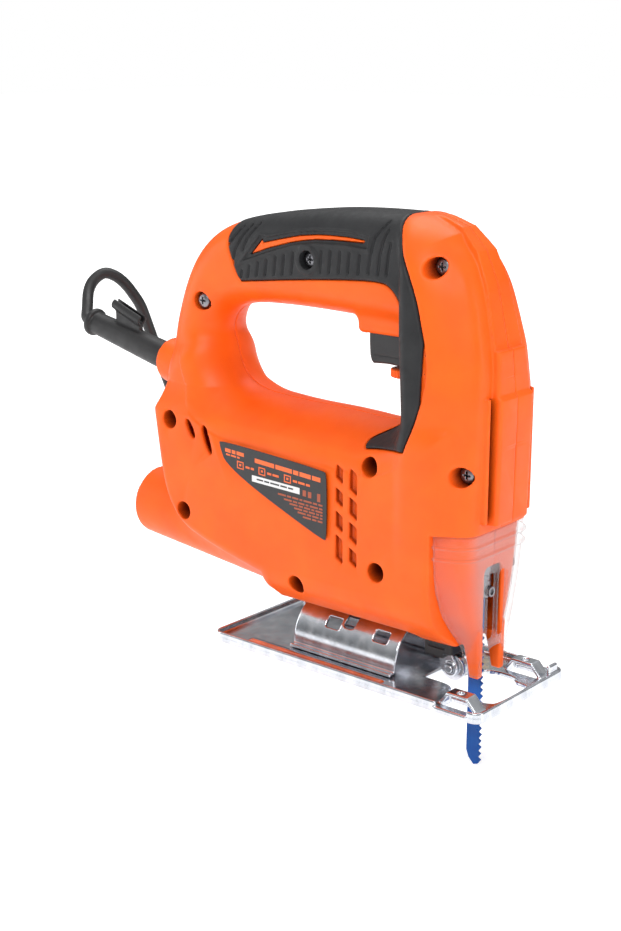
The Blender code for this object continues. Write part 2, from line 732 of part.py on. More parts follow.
def arc(radius, first, last, steps, centre=(0.0, BEVEL_AXIS_Z)):
    """Points of an arc in the YZ plane, angles in degrees from straight up."""
    points = []
    for step in range(steps + 1):
        angle = math.radians(first + (last - first) * step / steps)
        points.append((centre[0] + radius * math.sin(angle), centre[1] + radius * math.cos(angle)))
    return points


def make_segment():
    """Half-round bevel segment on the sole, with a screw slot and detent notches."""
    inner_radius = SEGMENT_RADIUS - 1.6
    foot = SOLE_THICKNESS + GAP
    outline = [*arc(SEGMENT_RADIUS, -92, 92, 32), (21.5, foot + 1.6), (21.5, foot),
               (inner_radius, foot), *arc(inner_radius, 92, -92, 32), (-inner_radius, foot),
               (-21.5, foot), (-21.5, foot + 1.6)]
    segment = prism("bevel_segment", MAT["steel"], outline, "yz", SEGMENT_X[0], SEGMENT_X[1])
    slot = [(0.0, BEVEL_AXIS_Z), *arc(40, -53, 53, 8)]
    cut(segment, prism("screw_slot", None, slot, "yz", BEVEL_SCREW_X - 3, BEVEL_SCREW_X + 3))
    for x in DETENT_X:
        for side in (-1, 1):
            notch = [(0.0, BEVEL_AXIS_Z), *arc(40, side * 42, side * 59, 2)]
            cut(segment, prism("detent", None, notch, "yz", x - 4, x + 4))
    smooth(segment)
    return set_origin(segment, (0, 0, BEVEL_AXIS_Z))


def make_bevel_clamp():
    """The screw that locks the tilt, and the saddle that it pulls up."""
    outer = SEGMENT_RADIUS - 1.6 - GAP
    outline = [*arc(outer, -24, 24, 8), *arc(outer - 3, 24, -24, 8)]
    saddle = prism("bevel_clamp_saddle", MAT["dark_steel"], outline, "yz", BEVEL_SCREW_X - 7,
                   BEVEL_SCREW_X + 7)
    cut(saddle, rod("hole", None, (BEVEL_SCREW_X, 0, 10), (BEVEL_SCREW_X, 0, 30), 2.7))
    smooth(saddle)
    top = BEVEL_AXIS_Z + (outer - 3) * math.cos(math.radians(20)) - 0.9
    turned("bevel_clamp_screw", MAT["dark_steel"],
           [(0, 0), (0, 4.2), (3.6, 4.2), (3.6, 2.4), (33.5 - top + 3.6, 2.4), (33.5 - top + 3.6, 0)],
           (BEVEL_SCREW_X, 0, top - 3.6), (0, 0, 1), 20)


# ---------------------------------------------------------------- screws and label
def make_screws():
    """Clamshell screws with pan heads, entered from the right side."""
    for name, x, z in SCREWS:
        add_screw(name, x, z, WELL_FLOOR_Y - GAP, 8.0)
    name, x, z = FRONT_SCREW
    add_screw(name, x, z, FRONT_WELL_FLOOR_Y - GAP, -7.4)
    prism("label_plate", MAT["label"], LABEL_OUTLINE, "xz", -31.05, -30.7)


def add_screw(name, x, z, seat_y, tip_y):
    profile = [(0, 0), (0, 2.6), (0.7, 3.4), (3.2, 3.4), (3.2, 1.45), (tip_y - seat_y + 2.2, 1.45),
               (tip_y - seat_y + 3.2, 0)]
    turned("screw_" + name, MAT["steel"], profile, (x, seat_y - 3.2, z), (0, 1, 0), 16)


# ---------------------------------------------------------------- blade support
def make_roller_arm():
    """Pendulum arm with its guide roller, and the fork guide above the sole."""
    arm = prism("roller_arm", MAT["steel"], ARM_OUTLINE, "xz", 3.9, 5.3)
    join(arm, prism("plate", None, ARM_OUTLINE, "xz", -5.3, -3.9))
    join(arm, box("web", None, (29.2, -4.4, 29.0), (36.6, 4.4, 35.6)))
    cut(arm, rod("pivot", None, (ARM_X, -9, ARM_Z), (ARM_X, 9, ARM_Z), 2.3, sides=20))
    cut(arm, rod("axle", None, (ROLLER_X, -9, ROLLER_Z), (ROLLER_X, 9, ROLLER_Z), 2.1, sides=16))
    smooth(arm)
    set_origin(arm, (ARM_X, 0, ARM_Z))
    rod("arm_pivot_pin", MAT["steel"], (ARM_X, -13, ARM_Z), (ARM_X, 13, ARM_Z), 2.0)
    roller = [(-3.5, 2.1), (-3.5, 6.0), (-1.6, 6.0), (-0.9, 5.2), (0.9, 5.2), (1.6, 6.0),
              (3.5, 6.0), (3.5, 2.1)]
    obj = turned("guide_roller", MAT["steel"], roller, (ROLLER_X, 0, ROLLER_Z), (0, 1, 0))
    set_origin(obj, (ROLLER_X, 0, ROLLER_Z))
    rod("roller_pin", MAT["steel"], (ROLLER_X, -6.6, ROLLER_Z), (ROLLER_X, 6.6, ROLLER_Z), 1.8)
    guide = box("fork_guide", MAT["black_plastic"], (30, -10.5, 13), (44.5, 10.5, 22.9))
    cut(guide, box("inside", None, (20, -6.2, 10), (42, 6.2, 30)))
    cut(guide, box("under", None, (40, -20, 10), (50, 20, 15.5)))
    smooth(guide)


# ---------------------------------------------------------------- controls
def make_controls():
    """Trigger with its speed dial, lock button, switch and pendulum lever."""
    outline = rounded([(TRIGGER_REAR, 136.6, 1.5), (6, 137.4, 20), (TRIGGER_FRONT, 135.6, 1.5),
                       (TRIGGER_FRONT, TRIGGER_TOP, 0), (TRIGGER_REAR, TRIGGER_TOP, 0)])
    trigger = prism("trigger", MAT["black_plastic"], outline, "xz", -7, 7)
    set_origin(trigger, (6.6, 0, 147))

    points = []
    for step in range(60):
        angle = 2 * math.pi * step / 60
        radius = 7.4 if step % 4 < 2 else 6.9
        points.append((DIAL_X + radius * math.cos(angle), radius * math.sin(angle)))
    dial = prism("speed_dial", MAT["orange"], points, "xy", 131.8, 135.2)
    set_origin(dial, (DIAL_X, 0, 133.5))

    button = turned("lock_button", MAT["black_plastic"], [(0, 0), (0, 4.2), (6.8, 4.2), (7.8, 3.2), (7.8, 0)],
                    (LOCK_X, 12.2, LOCK_Z), (0, 1, 0))
    set_origin(button, (LOCK_X, 16, LOCK_Z))

    switch = box("switch_body", MAT["black_plastic"], (-6, -8, SWITCH_BOTTOM), (21, 8, 189))
    join(switch, box("terminals", None, (-11, -5, 176), (-5, 5, 184)))

    coil = []
    for step in range(61):
        angle = 2 * math.pi * step / 12
        z = TRIGGER_TOP + 0.9 + (SWITCH_BOTTOM - TRIGGER_TOP - 1.8) * step / 60
        coil.append((4 + 3 * math.cos(angle), 3 * math.sin(angle), z))
    tube("trigger_spring", MAT["steel"], coil, 0.35, 1)

    lever = turned("pendulum_lever", MAT["black_plastic"],
                   [(0, 0), (0, 4.0), (11.4, 4.0), (11.4, 10.0), (14.0, 10.0), (15.0, 9.0), (15.0, 0)],
                   (LEVER_X, 20, LEVER_Z), (0, 1, 0))
    handle = rounded([(-11, -3, 2.5), (11, -2.2, 2), (11, 2.2, 2), (-11, 3, 2.5)])
    join(lever, prism("handle", None, [(LEVER_X + u, LEVER_Z + v) for u, v in handle], "xz",
                      34, 40))
    smooth(lever)
    set_origin(lever, (LEVER_X, 31, LEVER_Z))


def tube(name, mat, points, radius, resolution):
    """A round wire or cord along a list of points."""
    curve = bpy.data.curves.new(name, "CURVE")
    curve.dimensions = "3D"
    curve.bevel_depth = radius * MM
    curve.bevel_resolution = resolution
    curve.use_fill_caps = True
    spline = curve.splines.new("POLY")
    spline.points.add(len(points) - 1)
    for point, place_ in zip(spline.points, points):
        point.co = (place_[0] * MM, place_[1] * MM, place_[2] * MM, 1.0)
    curve.materials.append(mat)
    obj = bpy.data.objects.new(name, curve)
    bpy.context.collection.objects.link(obj)
    return obj


# ---------------------------------------------------------------- cord entry
def make_cord_entry():
    """Cord sleeve with a hex key clip, and the clamp bar under the cord."""
    start = Vector((-112, 0, cord_axis(-112)))
    end = Vector((-187.7, 0, cord_axis(-187.7)))
    length = (end - start).length
    profile = [(0, 0), (0, 6.7), (14.5, 6.7), (14.5, 7.75), (18.2, 7.75), (18.2, 6.7), (30, 6.7),
               (length - 3.5, 5.6), (length - 3.5, 7.0), (length, 7.0), (length, 0)]
    sleeve = turned("cord_sleeve", MAT["rubber"], profile, start, end - start, 24)
    web = [(-169.5, 131), (-152.5, 127), (-152.5, 134.4), (-169.5, 140.6)]
    join(sleeve, prism("web", None, web, "xz", -1.2, 1.2))
    low, high = (-170.6, 0, 143.8), (-151.9, 0, 136.9)
    join(sleeve, rod("clip", None, low, high, 2.8, sides=20))
    cut(sleeve, rod("bore", None, (-173.4, 0, 144.8), (-149.1, 0, 135.9), 1.6, sides=16))
    mouth = [(-176, 146.5), (-146, 135.4), (-146, 150), (-176, 160)]
    cut(sleeve, prism("mouth", None, mouth, "xz", -1.0, 1.0))
    smooth(sleeve)
    bar = box("cord_clamp", MAT["black_plastic"], (-109, -11, 106.4), (-101, 11, 108.6))
    for y in (-8, 8):
        cut(bar, rod("hole", None, (-105, y, 100), (-105, y, 112), 1.5, sides=12))


# ---------------------------------------------------------------- motor
def ring(name, mat, x0, x1, outer, inner, axis_z=MOTOR_Z, sides=32):
    profile = [(0, inner), (0, outer), (x1 - x0, outer), (x1 - x0, inner)]
    return turned(name, mat, profile, (x0, 0, axis_z), (1, 0, 0), sides)


def notched_circle(radius, depth, count, share, centre):
    """A circle outline with evenly spaced rectangular notches."""
    points = []
    for index in range(count):
        for part, level in ((0, 0), (1 - share, 0), (1 - share, depth), (1, depth)):
            angle = 2 * math.pi * (index + part) / count
            points.append((centre[0] + (radius - level) * math.sin(angle),
                           centre[1] + (radius - level) * math.cos(angle)))
    return points


def make_motor():
    """Series motor: field, armature, commutator, brushes, bearings and fan."""
    ring("bearing_rear", MAT["steel"], -76, -69, 9.5, 4.3)
    ring("bearing_front", MAT["steel"], 16.5, 23.5, 9.0, 4.3)

    core = prism("armature_core", MAT["laminate"],
                 notched_circle(14.5, 4.0, 12, 0.3, (0, MOTOR_Z)), "yz", -40, -10)
    cut(core, rod("bore", None, (-50, 0, MOTOR_Z), (0, 0, MOTOR_Z), 4.3))
    commutator = prism("commutator", MAT["copper"],
                       notched_circle(11.0, 0.6, 24, 0.14, (0, MOTOR_Z)), "yz", -64, -52)
    cut(commutator, rod("bore", None, (-70, 0, MOTOR_Z), (-50, 0, MOTOR_Z), 4.3))
    for obj in (core, commutator):
        set_origin(obj, (0, 0, MOTOR_Z))

    shaft = rod("armature_shaft", MAT["steel"], (-78, 0, MOTOR_Z), (25, 0, MOTOR_Z), 4.0)
    join(shaft, prism("pinion", None, gear_outline(9, 4.8, 3.2, (0, MOTOR_Z), 0.5), "yz", 24.5, 34))
    smooth(shaft)
    set_origin(shaft, (0, 0, MOTOR_Z))

    outline = []
    for index in range(11):
        for radius, side in ((8.0, -1), (21.4, -1), (21.4, 1), (8.0, 1)):
            angle = 2 * math.pi * index / 11 + side * math.asin(0.7 / radius)
            outline.append((radius * math.sin(angle), MOTOR_Z + radius * math.cos(angle)))
    fan = prism("fan", MAT["black_plastic"], outline, "yz", -2.2, 5.0)
    join(fan, rod("disc", None, (-3, 0, MOTOR_Z), (-1.6, 0, MOTOR_Z), 22.0, sides=40))
    cut(fan, rod("bore", None, (-9, 0, MOTOR_Z), (9, 0, MOTOR_Z), 4.3))
    smooth(fan)
    set_origin(fan, (0, 0, MOTOR_Z))

    outline = rounded([(-25, MOTOR_Z - 25, 9), (25, MOTOR_Z - 25, 9), (25, MOTOR_Z + 25, 9),
                       (-25, MOTOR_Z + 25, 9)])
    field = prism("field_core", MAT["laminate"], outline, "yz", -42, -8)
    poles = [*arc(15.4, 42, 138, 8, (0, MOTOR_Z)), *arc(20.6, 138, 222, 10, (0, MOTOR_Z)),
             *arc(15.4, 222, 318, 8, (0, MOTOR_Z)), *arc(20.6, 318, 402, 10, (0, MOTOR_Z))]
    cut(field, prism("bore", None, poles, "yz", -60, 10))
    smooth(field)
    for name, middle in (("field_coil_upper", 0), ("field_coil_lower", 180)):
        loop = [*arc(20.2, middle - 38, middle + 38, 8, (0, MOTOR_Z)),
                *arc(15.6, middle + 38, middle - 38, 8, (0, MOTOR_Z))]
        prism(name, MAT["copper"], loop, "yz", -47, -4)

    for index, side in ((1, -1), (2, 1)):
        low, high = sorted((side * 11.4, side * 24.0))
        box("carbon_brush_%d" % index, MAT["carbon"], (-61, low, 74), (-55, high, 82))
        low, high = sorted((side * 13.0, side * 27.5))
        holder = box("brush_holder_%d" % index, MAT["brass"], (-63.2, low, 72), (-52.8, high, 84))
        low, high = sorted((side * 5.0, side * 40.0))
        cut(holder, box("bore", None, (-61.4, low, 73.6), (-54.6, high, 82.4)))


def gear_outline(teeth, tip, root, centre, phase):
    """Straight-sided gear teeth; the phase moves them by part of a tooth."""
    points = []
    for index in range(teeth):
        for part, radius in ((-0.28, root), (-0.13, tip), (0.13, tip), (0.28, root)):
            angle = 2 * math.pi * (index + part + phase) / teeth
            points.append((centre[0] + radius * math.sin(angle),
                           centre[1] + radius * math.cos(angle)))
    return points


def make_gears():
    """Bearing bracket with the gear pin, and the big gear with its crank pin."""
    outline = [(-26.5, 60), (26.5, 60), (26.5, 93), (15, 104), (-15, 104), (-26.5, 93)]
    plate = prism("gear_bracket", MAT["aluminium"], outline, "yz", 20, 23.5)
    cut(plate, rod("seat", None, (10, 0, MOTOR_Z), (30, 0, MOTOR_Z), 9.3, sides=32))
    cut(plate, rod("pin_hole", None, (10, 0, GEAR_Z), (30, 0, GEAR_Z), 4.3))
    gear = prism("drive_gear", MAT["steel"], gear_outline(35, 16.5, 14.8, (0, GEAR_Z), 0.5),
                 "yz", 26, 33)
    join(gear, rod("crank_pin", None, (32, CRANK_RADIUS, GEAR_Z), (40.3, CRANK_RADIUS, GEAR_Z), 2.6))
    cut(gear, rod("bore", None, (20, 0, GEAR_Z), (40, 0, GEAR_Z), 4.3))
    smooth(gear)
    set_origin(gear, (0, 0, GEAR_Z))
    rod("gear_pin", MAT["steel"], (19.9, 0, GEAR_Z), (34.5, 0, GEAR_Z), 4.0)


# ---------------------------------------------------------------- plunger and blade
def make_plunger():
    """Plunger with its yoke, two bushes, the blade clamp and the blade."""
    plunger = rod("plunger", MAT["steel"], (PLUNGER_X, 0, 66.3), (PLUNGER_X, 0, 152), 4.5)
    yoke = box("yoke", None, (40.8, -15, GEAR_Z - 5), (44.2, 15, GEAR_Z + 5))
    cut(yoke, box("slot", None, (30, -12.2, GEAR_Z - 3), (50, 12.2, GEAR_Z + 3)))
    join(yoke, box("back", None, (43.4, -15, GEAR_Z - 5), (45.4, 15, GEAR_Z + 5)))
    join(plunger, yoke)
    join(plunger, box("neck", None, (44.8, -3.5, GEAR_Z - 5), (50, 3.5, GEAR_Z + 5)))
    smooth(plunger)
    for name, low, high in (("lower_bush", 76, 83), ("upper_bush", 126, 136)):
        turned(name, MAT["brass"], [(0, 4.8), (0, 6.6), (high - low, 6.6), (high - low, 4.8)],
               (PLUNGER_X, 0, low), (0, 0, 1))

    clamp = rod("blade_clamp", MAT["dark_steel"], (PLUNGER_X, 0, 42), (PLUNGER_X, 0, 66), 5.5)
    cut(clamp, box("slot", None, (46.3, -0.9, 30), (54.6, 0.9, 63.8)))
    cut(clamp, rod("hole", None, (54, 0, CLAMP_SCREW_Z), (60, 0, CLAMP_SCREW_Z), 1.8, sides=16))
    smooth(clamp)
    turned("clamp_screw", MAT["dark_steel"],
           [(0, 0), (0, 1.5), (1.2, 1.5), (1.2, 2.4), (2.6, 2.4), (2.6, 0)],
           (54.9, 0, CLAMP_SCREW_Z), (1, 0, 0), 16)

    outline = [(BLADE_BACK, 63.4), (BLADE_BACK, -30.5), (BLADE_BACK + 3.4, -36.7)]
    z = -36.0
    while z < 22:
        outline.append((BLADE_FRONT - 1.5, z + 0.1))
        outline.append((BLADE_FRONT, z + 2.5))
        z += 3.0
    outline += [(BLADE_FRONT - 1.3, z), (BLADE_FRONT - 0.6, z + 4), (BLADE_FRONT - 0.6, 63.4)]
    prism("saw_blade", MAT["blue"], outline, "xz", -0.6, 0.6)


# ---------------------------------------------------------------- cord
def smooth_path(points, spacing):
    """Evenly spaced points on a smooth curve through the given ones."""
    dense = []
    count = len(points)
    for i in range(count - 1):
        p0 = Vector(points[max(i - 1, 0)])
        p1 = Vector(points[i])
        p2 = Vector(points[i + 1])
        p3 = Vector(points[min(i + 2, count - 1)])
        for step in range(12):
            t = step / 12
            dense.append(0.5 * ((2 * p1) + (p2 - p0) * t + (2 * p0 - 5 * p1 + 4 * p2 - p3) * t ** 2
                                + (3 * p1 - p0 - 3 * p2 + p3) * t ** 3))
    dense.append(Vector(points[-1]))
    total = sum((b - a).length for a, b in zip(dense, dense[1:]))
    pieces = round(total / spacing)
    path = [dense[0]]
    walked = 0.0
    for a, b in zip(dense, dense[1:]):
        step = (b - a).length
        while len(path) < pieces and walked + step >= total / pieces * len(path):
            t = (total / pieces * len(path) - walked) / step
            path.append(a.lerp(b, t))
        walked += step
    path.append(dense[-1])
    return path


def make_cord():
    """The visible run of the cord, the tied hank behind the tool and the plug."""
    tube("power_cord", MAT["rubber"], smooth_path(CORD_ROUTE, 2 * CORD_DIAMETER),
         CORD_DIAMETER / 2, 3)
    outline = rounded([(-138, 57, 19.9), (-46, 57, 3), (-46, 97, 19.9), (-138, 97, 19.9)], 8)
    prism("cord_hank", MAT["rubber"], outline, "xy", 0.2, 23.7)
    profile = [(0, 0), (0, 3.4), (14.7, 5.0), (14.7, 8.5), (18.5, 12.5), (38, 13.0), (42.7, 11.5),
               (42.7, 0)]
    turned("plug_body", MAT["rubber"], profile, (-45.7, PLUG_Y, 13.3), (1, 0, 0), 24)
    for index, z in ((1, 13.3 - 9.5), (2, 13.3 + 9.5)):
        turned("plug_pin_%d" % index, MAT["brass"],
               [(0, 0), (0, 2.4), (18, 2.4), (19, 1.5), (19, 0)], (-2.7, PLUG_Y, z), (1, 0, 0), 16)


# ---------------------------------------------------------------- main
clear_scene()
MAT = {
    "orange": material("orange_plastic", ORANGE, 0.42),
    "black": material("black_rubber", (0.03, 0.03, 0.032), 0.6),
    "black_plastic": material("black_plastic", (0.02, 0.02, 0.022), 0.45),
    "steel": material("zinc_steel", (0.72, 0.74, 0.76), 0.25, 1.0),
    "dark_steel": material("dark_steel", (0.28, 0.28, 0.3), 0.4, 1.0),
    "blue": material("blue_blade_paint", (0.0, 0.09, 0.42), 0.4, 0.3),
    "clear": material("clear_plastic", (0.95, 0.95, 0.97), 0.08, 0.0, 0.3),
    "copper": material("copper", (0.72, 0.3, 0.15), 0.35, 1.0),
    "carbon": material("carbon", (0.05, 0.05, 0.05), 0.8),
    "brass": material("brass", (0.8, 0.6, 0.25), 0.3, 1.0),
    "laminate": material("laminated_steel", (0.35, 0.34, 0.33), 0.5, 1.0),
    "aluminium": material("cast_aluminium", (0.7, 0.71, 0.72), 0.45, 1.0),
    "rubber": material("cord_rubber", (0.018, 0.018, 0.02), 0.55),
    "label": material("label", (0.035, 0.035, 0.04), 0.5),
}
make_housing()
make_grips()
make_guard()
make_shoe()
make_segment()
make_bevel_clamp()
make_screws()
make_roller_arm()
make_controls()
make_cord_entry()
make_motor()
make_gears()
make_plunger()
make_cord()
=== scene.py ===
"""Looks of the corded jigsaw: detailed skins, materials, cord, light and camera.

Shapes are worked out in millimetres and become metres when a mesh is made.
+X is the sawing direction, +Y is the tool's left and +Z is up.
"""
import json
import math
from functools import reduce
from itertools import product

import bmesh
import bpy
import numpy as np
from mathutils import Matrix, Vector

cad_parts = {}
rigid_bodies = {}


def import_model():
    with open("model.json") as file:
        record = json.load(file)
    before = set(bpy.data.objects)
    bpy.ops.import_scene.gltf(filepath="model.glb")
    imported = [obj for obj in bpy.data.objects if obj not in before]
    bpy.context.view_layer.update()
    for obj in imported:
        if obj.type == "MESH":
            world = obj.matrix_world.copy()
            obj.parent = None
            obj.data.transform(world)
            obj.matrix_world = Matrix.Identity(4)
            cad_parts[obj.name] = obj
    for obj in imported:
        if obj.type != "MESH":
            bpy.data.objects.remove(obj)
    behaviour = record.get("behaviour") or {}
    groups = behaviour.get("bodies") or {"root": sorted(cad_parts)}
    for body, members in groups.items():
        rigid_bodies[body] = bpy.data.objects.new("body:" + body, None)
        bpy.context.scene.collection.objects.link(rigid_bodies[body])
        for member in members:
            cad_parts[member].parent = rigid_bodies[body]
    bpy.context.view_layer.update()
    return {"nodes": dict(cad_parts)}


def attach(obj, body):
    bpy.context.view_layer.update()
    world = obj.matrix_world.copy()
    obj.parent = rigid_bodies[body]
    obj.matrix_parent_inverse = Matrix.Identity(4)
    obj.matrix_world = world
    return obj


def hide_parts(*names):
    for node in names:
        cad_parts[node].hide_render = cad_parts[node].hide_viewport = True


for item in list(bpy.data.objects):
    bpy.data.objects.remove(item, do_unlink=True)
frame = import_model()
NODES = frame["nodes"]
MM = 0.001

# ---------------------------------------------------------------- sizes
WALL = 2.4
SEAM = 0.06
BODY_HALF_WIDTH = 31.0
BODY_BOTTOM_Z = 23.2
HANDLE_HALF_WIDTH = 17.5
BEVEL_AXIS_Z = 5.0
SEGMENT_RADIUS = 18.5
BEVEL_SCREW_X = -9.0
MOTOR_Z = 78.0
PLUNGER_X = 50.2
PORT_RADIUS = 16.7
PORT_END_X = -143.6
CORD_DIAMETER = 5.8
VOXEL = 0.62

BODY_OUTLINE = [
    (-46, BODY_BOTTOM_Z), (48, BODY_BOTTOM_Z), (50, 60), (50, 117), (20, 117), (-20, 117.5),
    (-42, 120), (-58, 125), (-74, 131), (-92, 131), (-110, 126), (-117, 109), (-114.5, 92),
    (-112, 75), (-108, 61), (-99, 50), (-82, 44.5), (-64, 40), (-50, 37),
]
BODY_SHARP = {0, 1, 2, 3, 4, 18}
HANDLE_OUTER = [
    (-100, 95), (40, 95), (40, 195), (24, 201.5), (4, 201.8), (-20, 201), (-40, 199),
    (-60, 196.4), (-78, 192.4), (-91, 187), (-101, 178.5), (-108, 168), (-113.5, 155),
    (-118.5, 138), (-119, 122), (-112, 106),
]
HANDLE_SHARP = {0, 1, 2}
HANDLE_HOLE = [
    (-20, 109.4), (4, 108.0), (17, 110), (23.5, 118), (25.4, 134), (24, 150), (20, 154.5),
    (0, 155.4), (-22, 156.2), (-48, 156.4), (-74, 155.2), (-86, 151), (-90.5, 142),
    (-90, 125), (-78.5, 111.5), (-50, 109.2),
]
FLARE_DEPTH = 15.0
GRIP_OUTLINE = [
    (-74, 206), (-78.5, 190), (-78.2, 183), (-73, 170), (-70, 166.6), (-33, 171), (8, 174.5),
    (15, 171.5), (20, 164), (24, 152), (21, 140), (19, 121), (14, 112), (7, 108), (5.6, 106),
    (7.5, 104), (28.5, 107.2), (31.8, 107.6), (35.5, 117.8), (38.7, 128.2), (40.6, 138.3),
    (39.6, 150), (36.2, 161.9), (33.4, 171.5), (27.7, 182.4), (23.0, 190), (17.6, 197.4),
    (15.5, 206),
]
GRIP_SHARP = {0, 4, 15, 17, 27}
# Front form: height, rear X, side corner (X, Y), front corner (X, Y)
FRONT_SECTIONS = [
    (9.0, 30, 49.0, 12.8, 60.3, 12.6), (23.2, 30, 48.8, 14.0, 60.3, 12.6),
    (37.0, 30, 48.0, 22.0, 60.4, 16.0), (51.0, 30, 46.8, 26.5, 60.4, 19.3),
    (62.0, 30, 45.5, 28.2, 60.5, 20.6), (77.6, 30, 44.0, 29.4, 61.0, 21.5),
    (100.0, 30, 43.0, 30.3, 62.0, 21.5), (131.0, 28, 42.0, 29.6, 62.5, 20.0),
    (150.0, 26, 40.0, 28.5, 61.5, 17.0), (175.0, 24, 36.0, 26.4, 56.0, 13.0),
    (188.0, 22, 32.0, 23.8, 50.0, 10.0), (197.0, 20, 27.0, 18.5, 41.0, 7.0),
    (202.0, 17, 21.0, 10.0, 30.0, 4.0),
]
# Front band: height, front X, half width
BAND_SECTIONS = [
    (77.6, 66.4, 12.0), (131.0, 67.2, 12.0), (132.5, 65.7, 12.0), (149.0, 64.2, 10.2),
    (174.0, 58.8, 8.3), (185.0, 55.4, 7.2), (192.0, 51.5, 6.4), (198.0, 43.5, 4.7),
    (201.8, 31.0, 3.6),
]
TOWER_TOP = [
    (10, 201.9), (24, 201.7), (31, 201.2), (41, 197.6), (50, 188.8), (56, 175.5), (62, 150),
]
GUARD_LINE = [
    (45.2, 74.2), (45.0, 57.0), (44.9, 48.0), (45.3, 42.8), (45.8, 36.8), (46.6, 31.5),
    (47.7, 27.0), (50.4, 21.0), (51.2, 14.0), (51.2, 6.0),
]
HANDLE_TOP_SCREW = (-30.9, 179.6)
SCREWS = [
    (-95.4, 155.0), HANDLE_TOP_SCREW, (38.7, 182.9), (-104.6, 100.2), (-96.8, 57.5),
    (12.8, 97.6), (17.3, 52.2), (-28.0, 36.2),
]
FRONT_SCREW = (56.0, 99.9)
WELL_RADIUS = 4.25
WELL_FLOOR_Y = 12.0
FRONT_WELL_FLOOR_Y = 16.0
SCREW_HOLE_RADIUS = 1.75
ROLLER_AXIS = (40.3, 7.2)
ARM_PIVOT = (33, 34)
TRIGGER_X = 4
LOCK_Z = 166.5
DIAL_X = 11
LEVER_AXIS = (32, 45)
CLAMP_SCREW_Z = 45
TOOTH_PITCH = 3.0
LEG_OUTLINE = [(53.6, 8.2), (57.9, 8.2), (57.9, 30), (49.8, 30), (50.4, 22), (52.4, 14)]
LABEL_OUTLINE = [
    (-70.5, 96.2), (-10, 92.7), (-8.2, 91), (-8.2, 62.5), (-9.8, 61), (-66.5, 83.8), (-71.5, 94.5),
]
VENT_COLUMNS = [
    (-4.7, -0.8, [(87.9, 96.0), (77.4, 86.0), (66.2, 75.6), (51.9, 65.0)]),
    (2.8, 6.9, [(84.0, 95.3), (73.1, 83.1), (62.1, 72.0), (51.8, 60.5)]),
]
VENT_SLANT = 2.3
REAR_VENTS = [
    [(-95.2, 102.2), (-91.0, 102.0), (-87.4, 93.4), (-91.6, 93.6)],
    [(-85.4, 100.6), (-81.1, 100.4), (-76.8, 87.4), (-80.9, 87.8)],
]

ARROW = [
    (-64.3, 178.9), (-56.9, 186.9), (-56.7, 185.0), (-44.1, 188.0), (-35.2, 189.8), (-26.4, 190.8),
    (-17.7, 191.2), (-9.2, 191.1), (0.3, 190.5), (-0.2, 189.2), (-9.2, 189.1), (-17.7, 189.0),
    (-26.4, 188.5), (-33.7, 187.5), (-41.1, 186.0), (-53.3, 182.7),
]
ARROW_FRAME = [
    (-72.1, 172.7), (-58.2, 188.5), (-53.2, 188.1), (-38.1, 191.4), (-26.4, 192.9), (-9.3, 193.5),
    (3.3, 192.4), (2.3, 186.7), (-9.2, 187.5), (-26.4, 186.9), (-38.2, 185.2), (-53.3, 180.7),
    (-68.1, 175.6),
]
GRIP_SLOTS = [
    [(-68.9, 171.5), (-69.7, 168.6)], [(-64.5, 174.0), (-65.4, 169.4)],
    [(-59.2, 175.9), (-60.2, 170.3)], [(-54.2, 177.5), (-55.2, 171.0)],
    [(-49.0, 179.4), (-50.0, 171.8)], [(-44.1, 180.4), (-45.1, 172.3)],
    [(-38.8, 182.0), (-39.8, 173.1)], [(-23.0, 183.9), (-23.9, 174.9)],
    [(-18.0, 184.4), (-18.8, 175.4)], [(-12.7, 184.6), (-13.5, 175.8)],
    [(-7.7, 184.5), (-8.5, 176.2)], [(-2.1, 184.1), (-2.9, 176.5)],
    [(2.4, 176.9), (3.4, 183.8), (5.7, 192.1), (10.4, 198.5)],
    [(7.6, 177.1), (8.5, 184.8), (10.6, 191.9), (12.0, 195.5)],
    [(12.0, 177.2), (12.9, 184.7), (14.2, 190.5)],
    [(-74.3, 174.6), (-72.8, 180.5), (-69.5, 186.0), (-65.4, 191.6)],
    [(-68.4, 180.9), (-65.6, 186.3), (-60.8, 192.6)], [(-76.6, 182.8), (-70.6, 190.6)],
]


# ---------------------------------------------------------------- distance fields
def smooth_loop(points, sharp=(), rounds=3):
    """Cut the corners of a closed outline, apart from the ones named as sharp."""
    work = [(Vector(p), i in sharp) for i, p in enumerate(points)]
    for _ in range(rounds):
        result = []
        count = len(work)
        for i, (point, keep) in enumerate(work):
            before = work[i - 1][0]
            after = work[(i + 1) % count][0]
            if keep:
                result.append((point, True))
            else:
                result.append((point.lerp(before, 0.25), False))
                result.append((point.lerp(after, 0.25), False))
        work = result
    return [tuple(point) for point, _ in work]


def polygon_distance(outline, px, pz):
    """Signed distance to a closed outline, negative inside."""
    best = np.full(np.broadcast(px, pz).shape, 1e9, np.float32)
    inside = np.zeros(best.shape, bool)
    count = len(outline)
    for i in range(count):
        ax, az = outline[i]
        bx, bz = outline[(i + 1) % count]
        ex, ez = bx - ax, bz - az
        wx, wz = px - ax, pz - az
        t = np.clip((wx * ex + wz * ez) / max(ex * ex + ez * ez, 1e-9), 0, 1)
        best = np.minimum(best, (wx - ex * t) ** 2 + (wz - ez * t) ** 2)
        crosses = (az > pz) != (bz > pz)
        if ez != 0:
            inside ^= crosses & (px < ax + ex * (pz - az) / ez)
    distance = np.sqrt(best)
    return np.where(inside, -distance, distance)


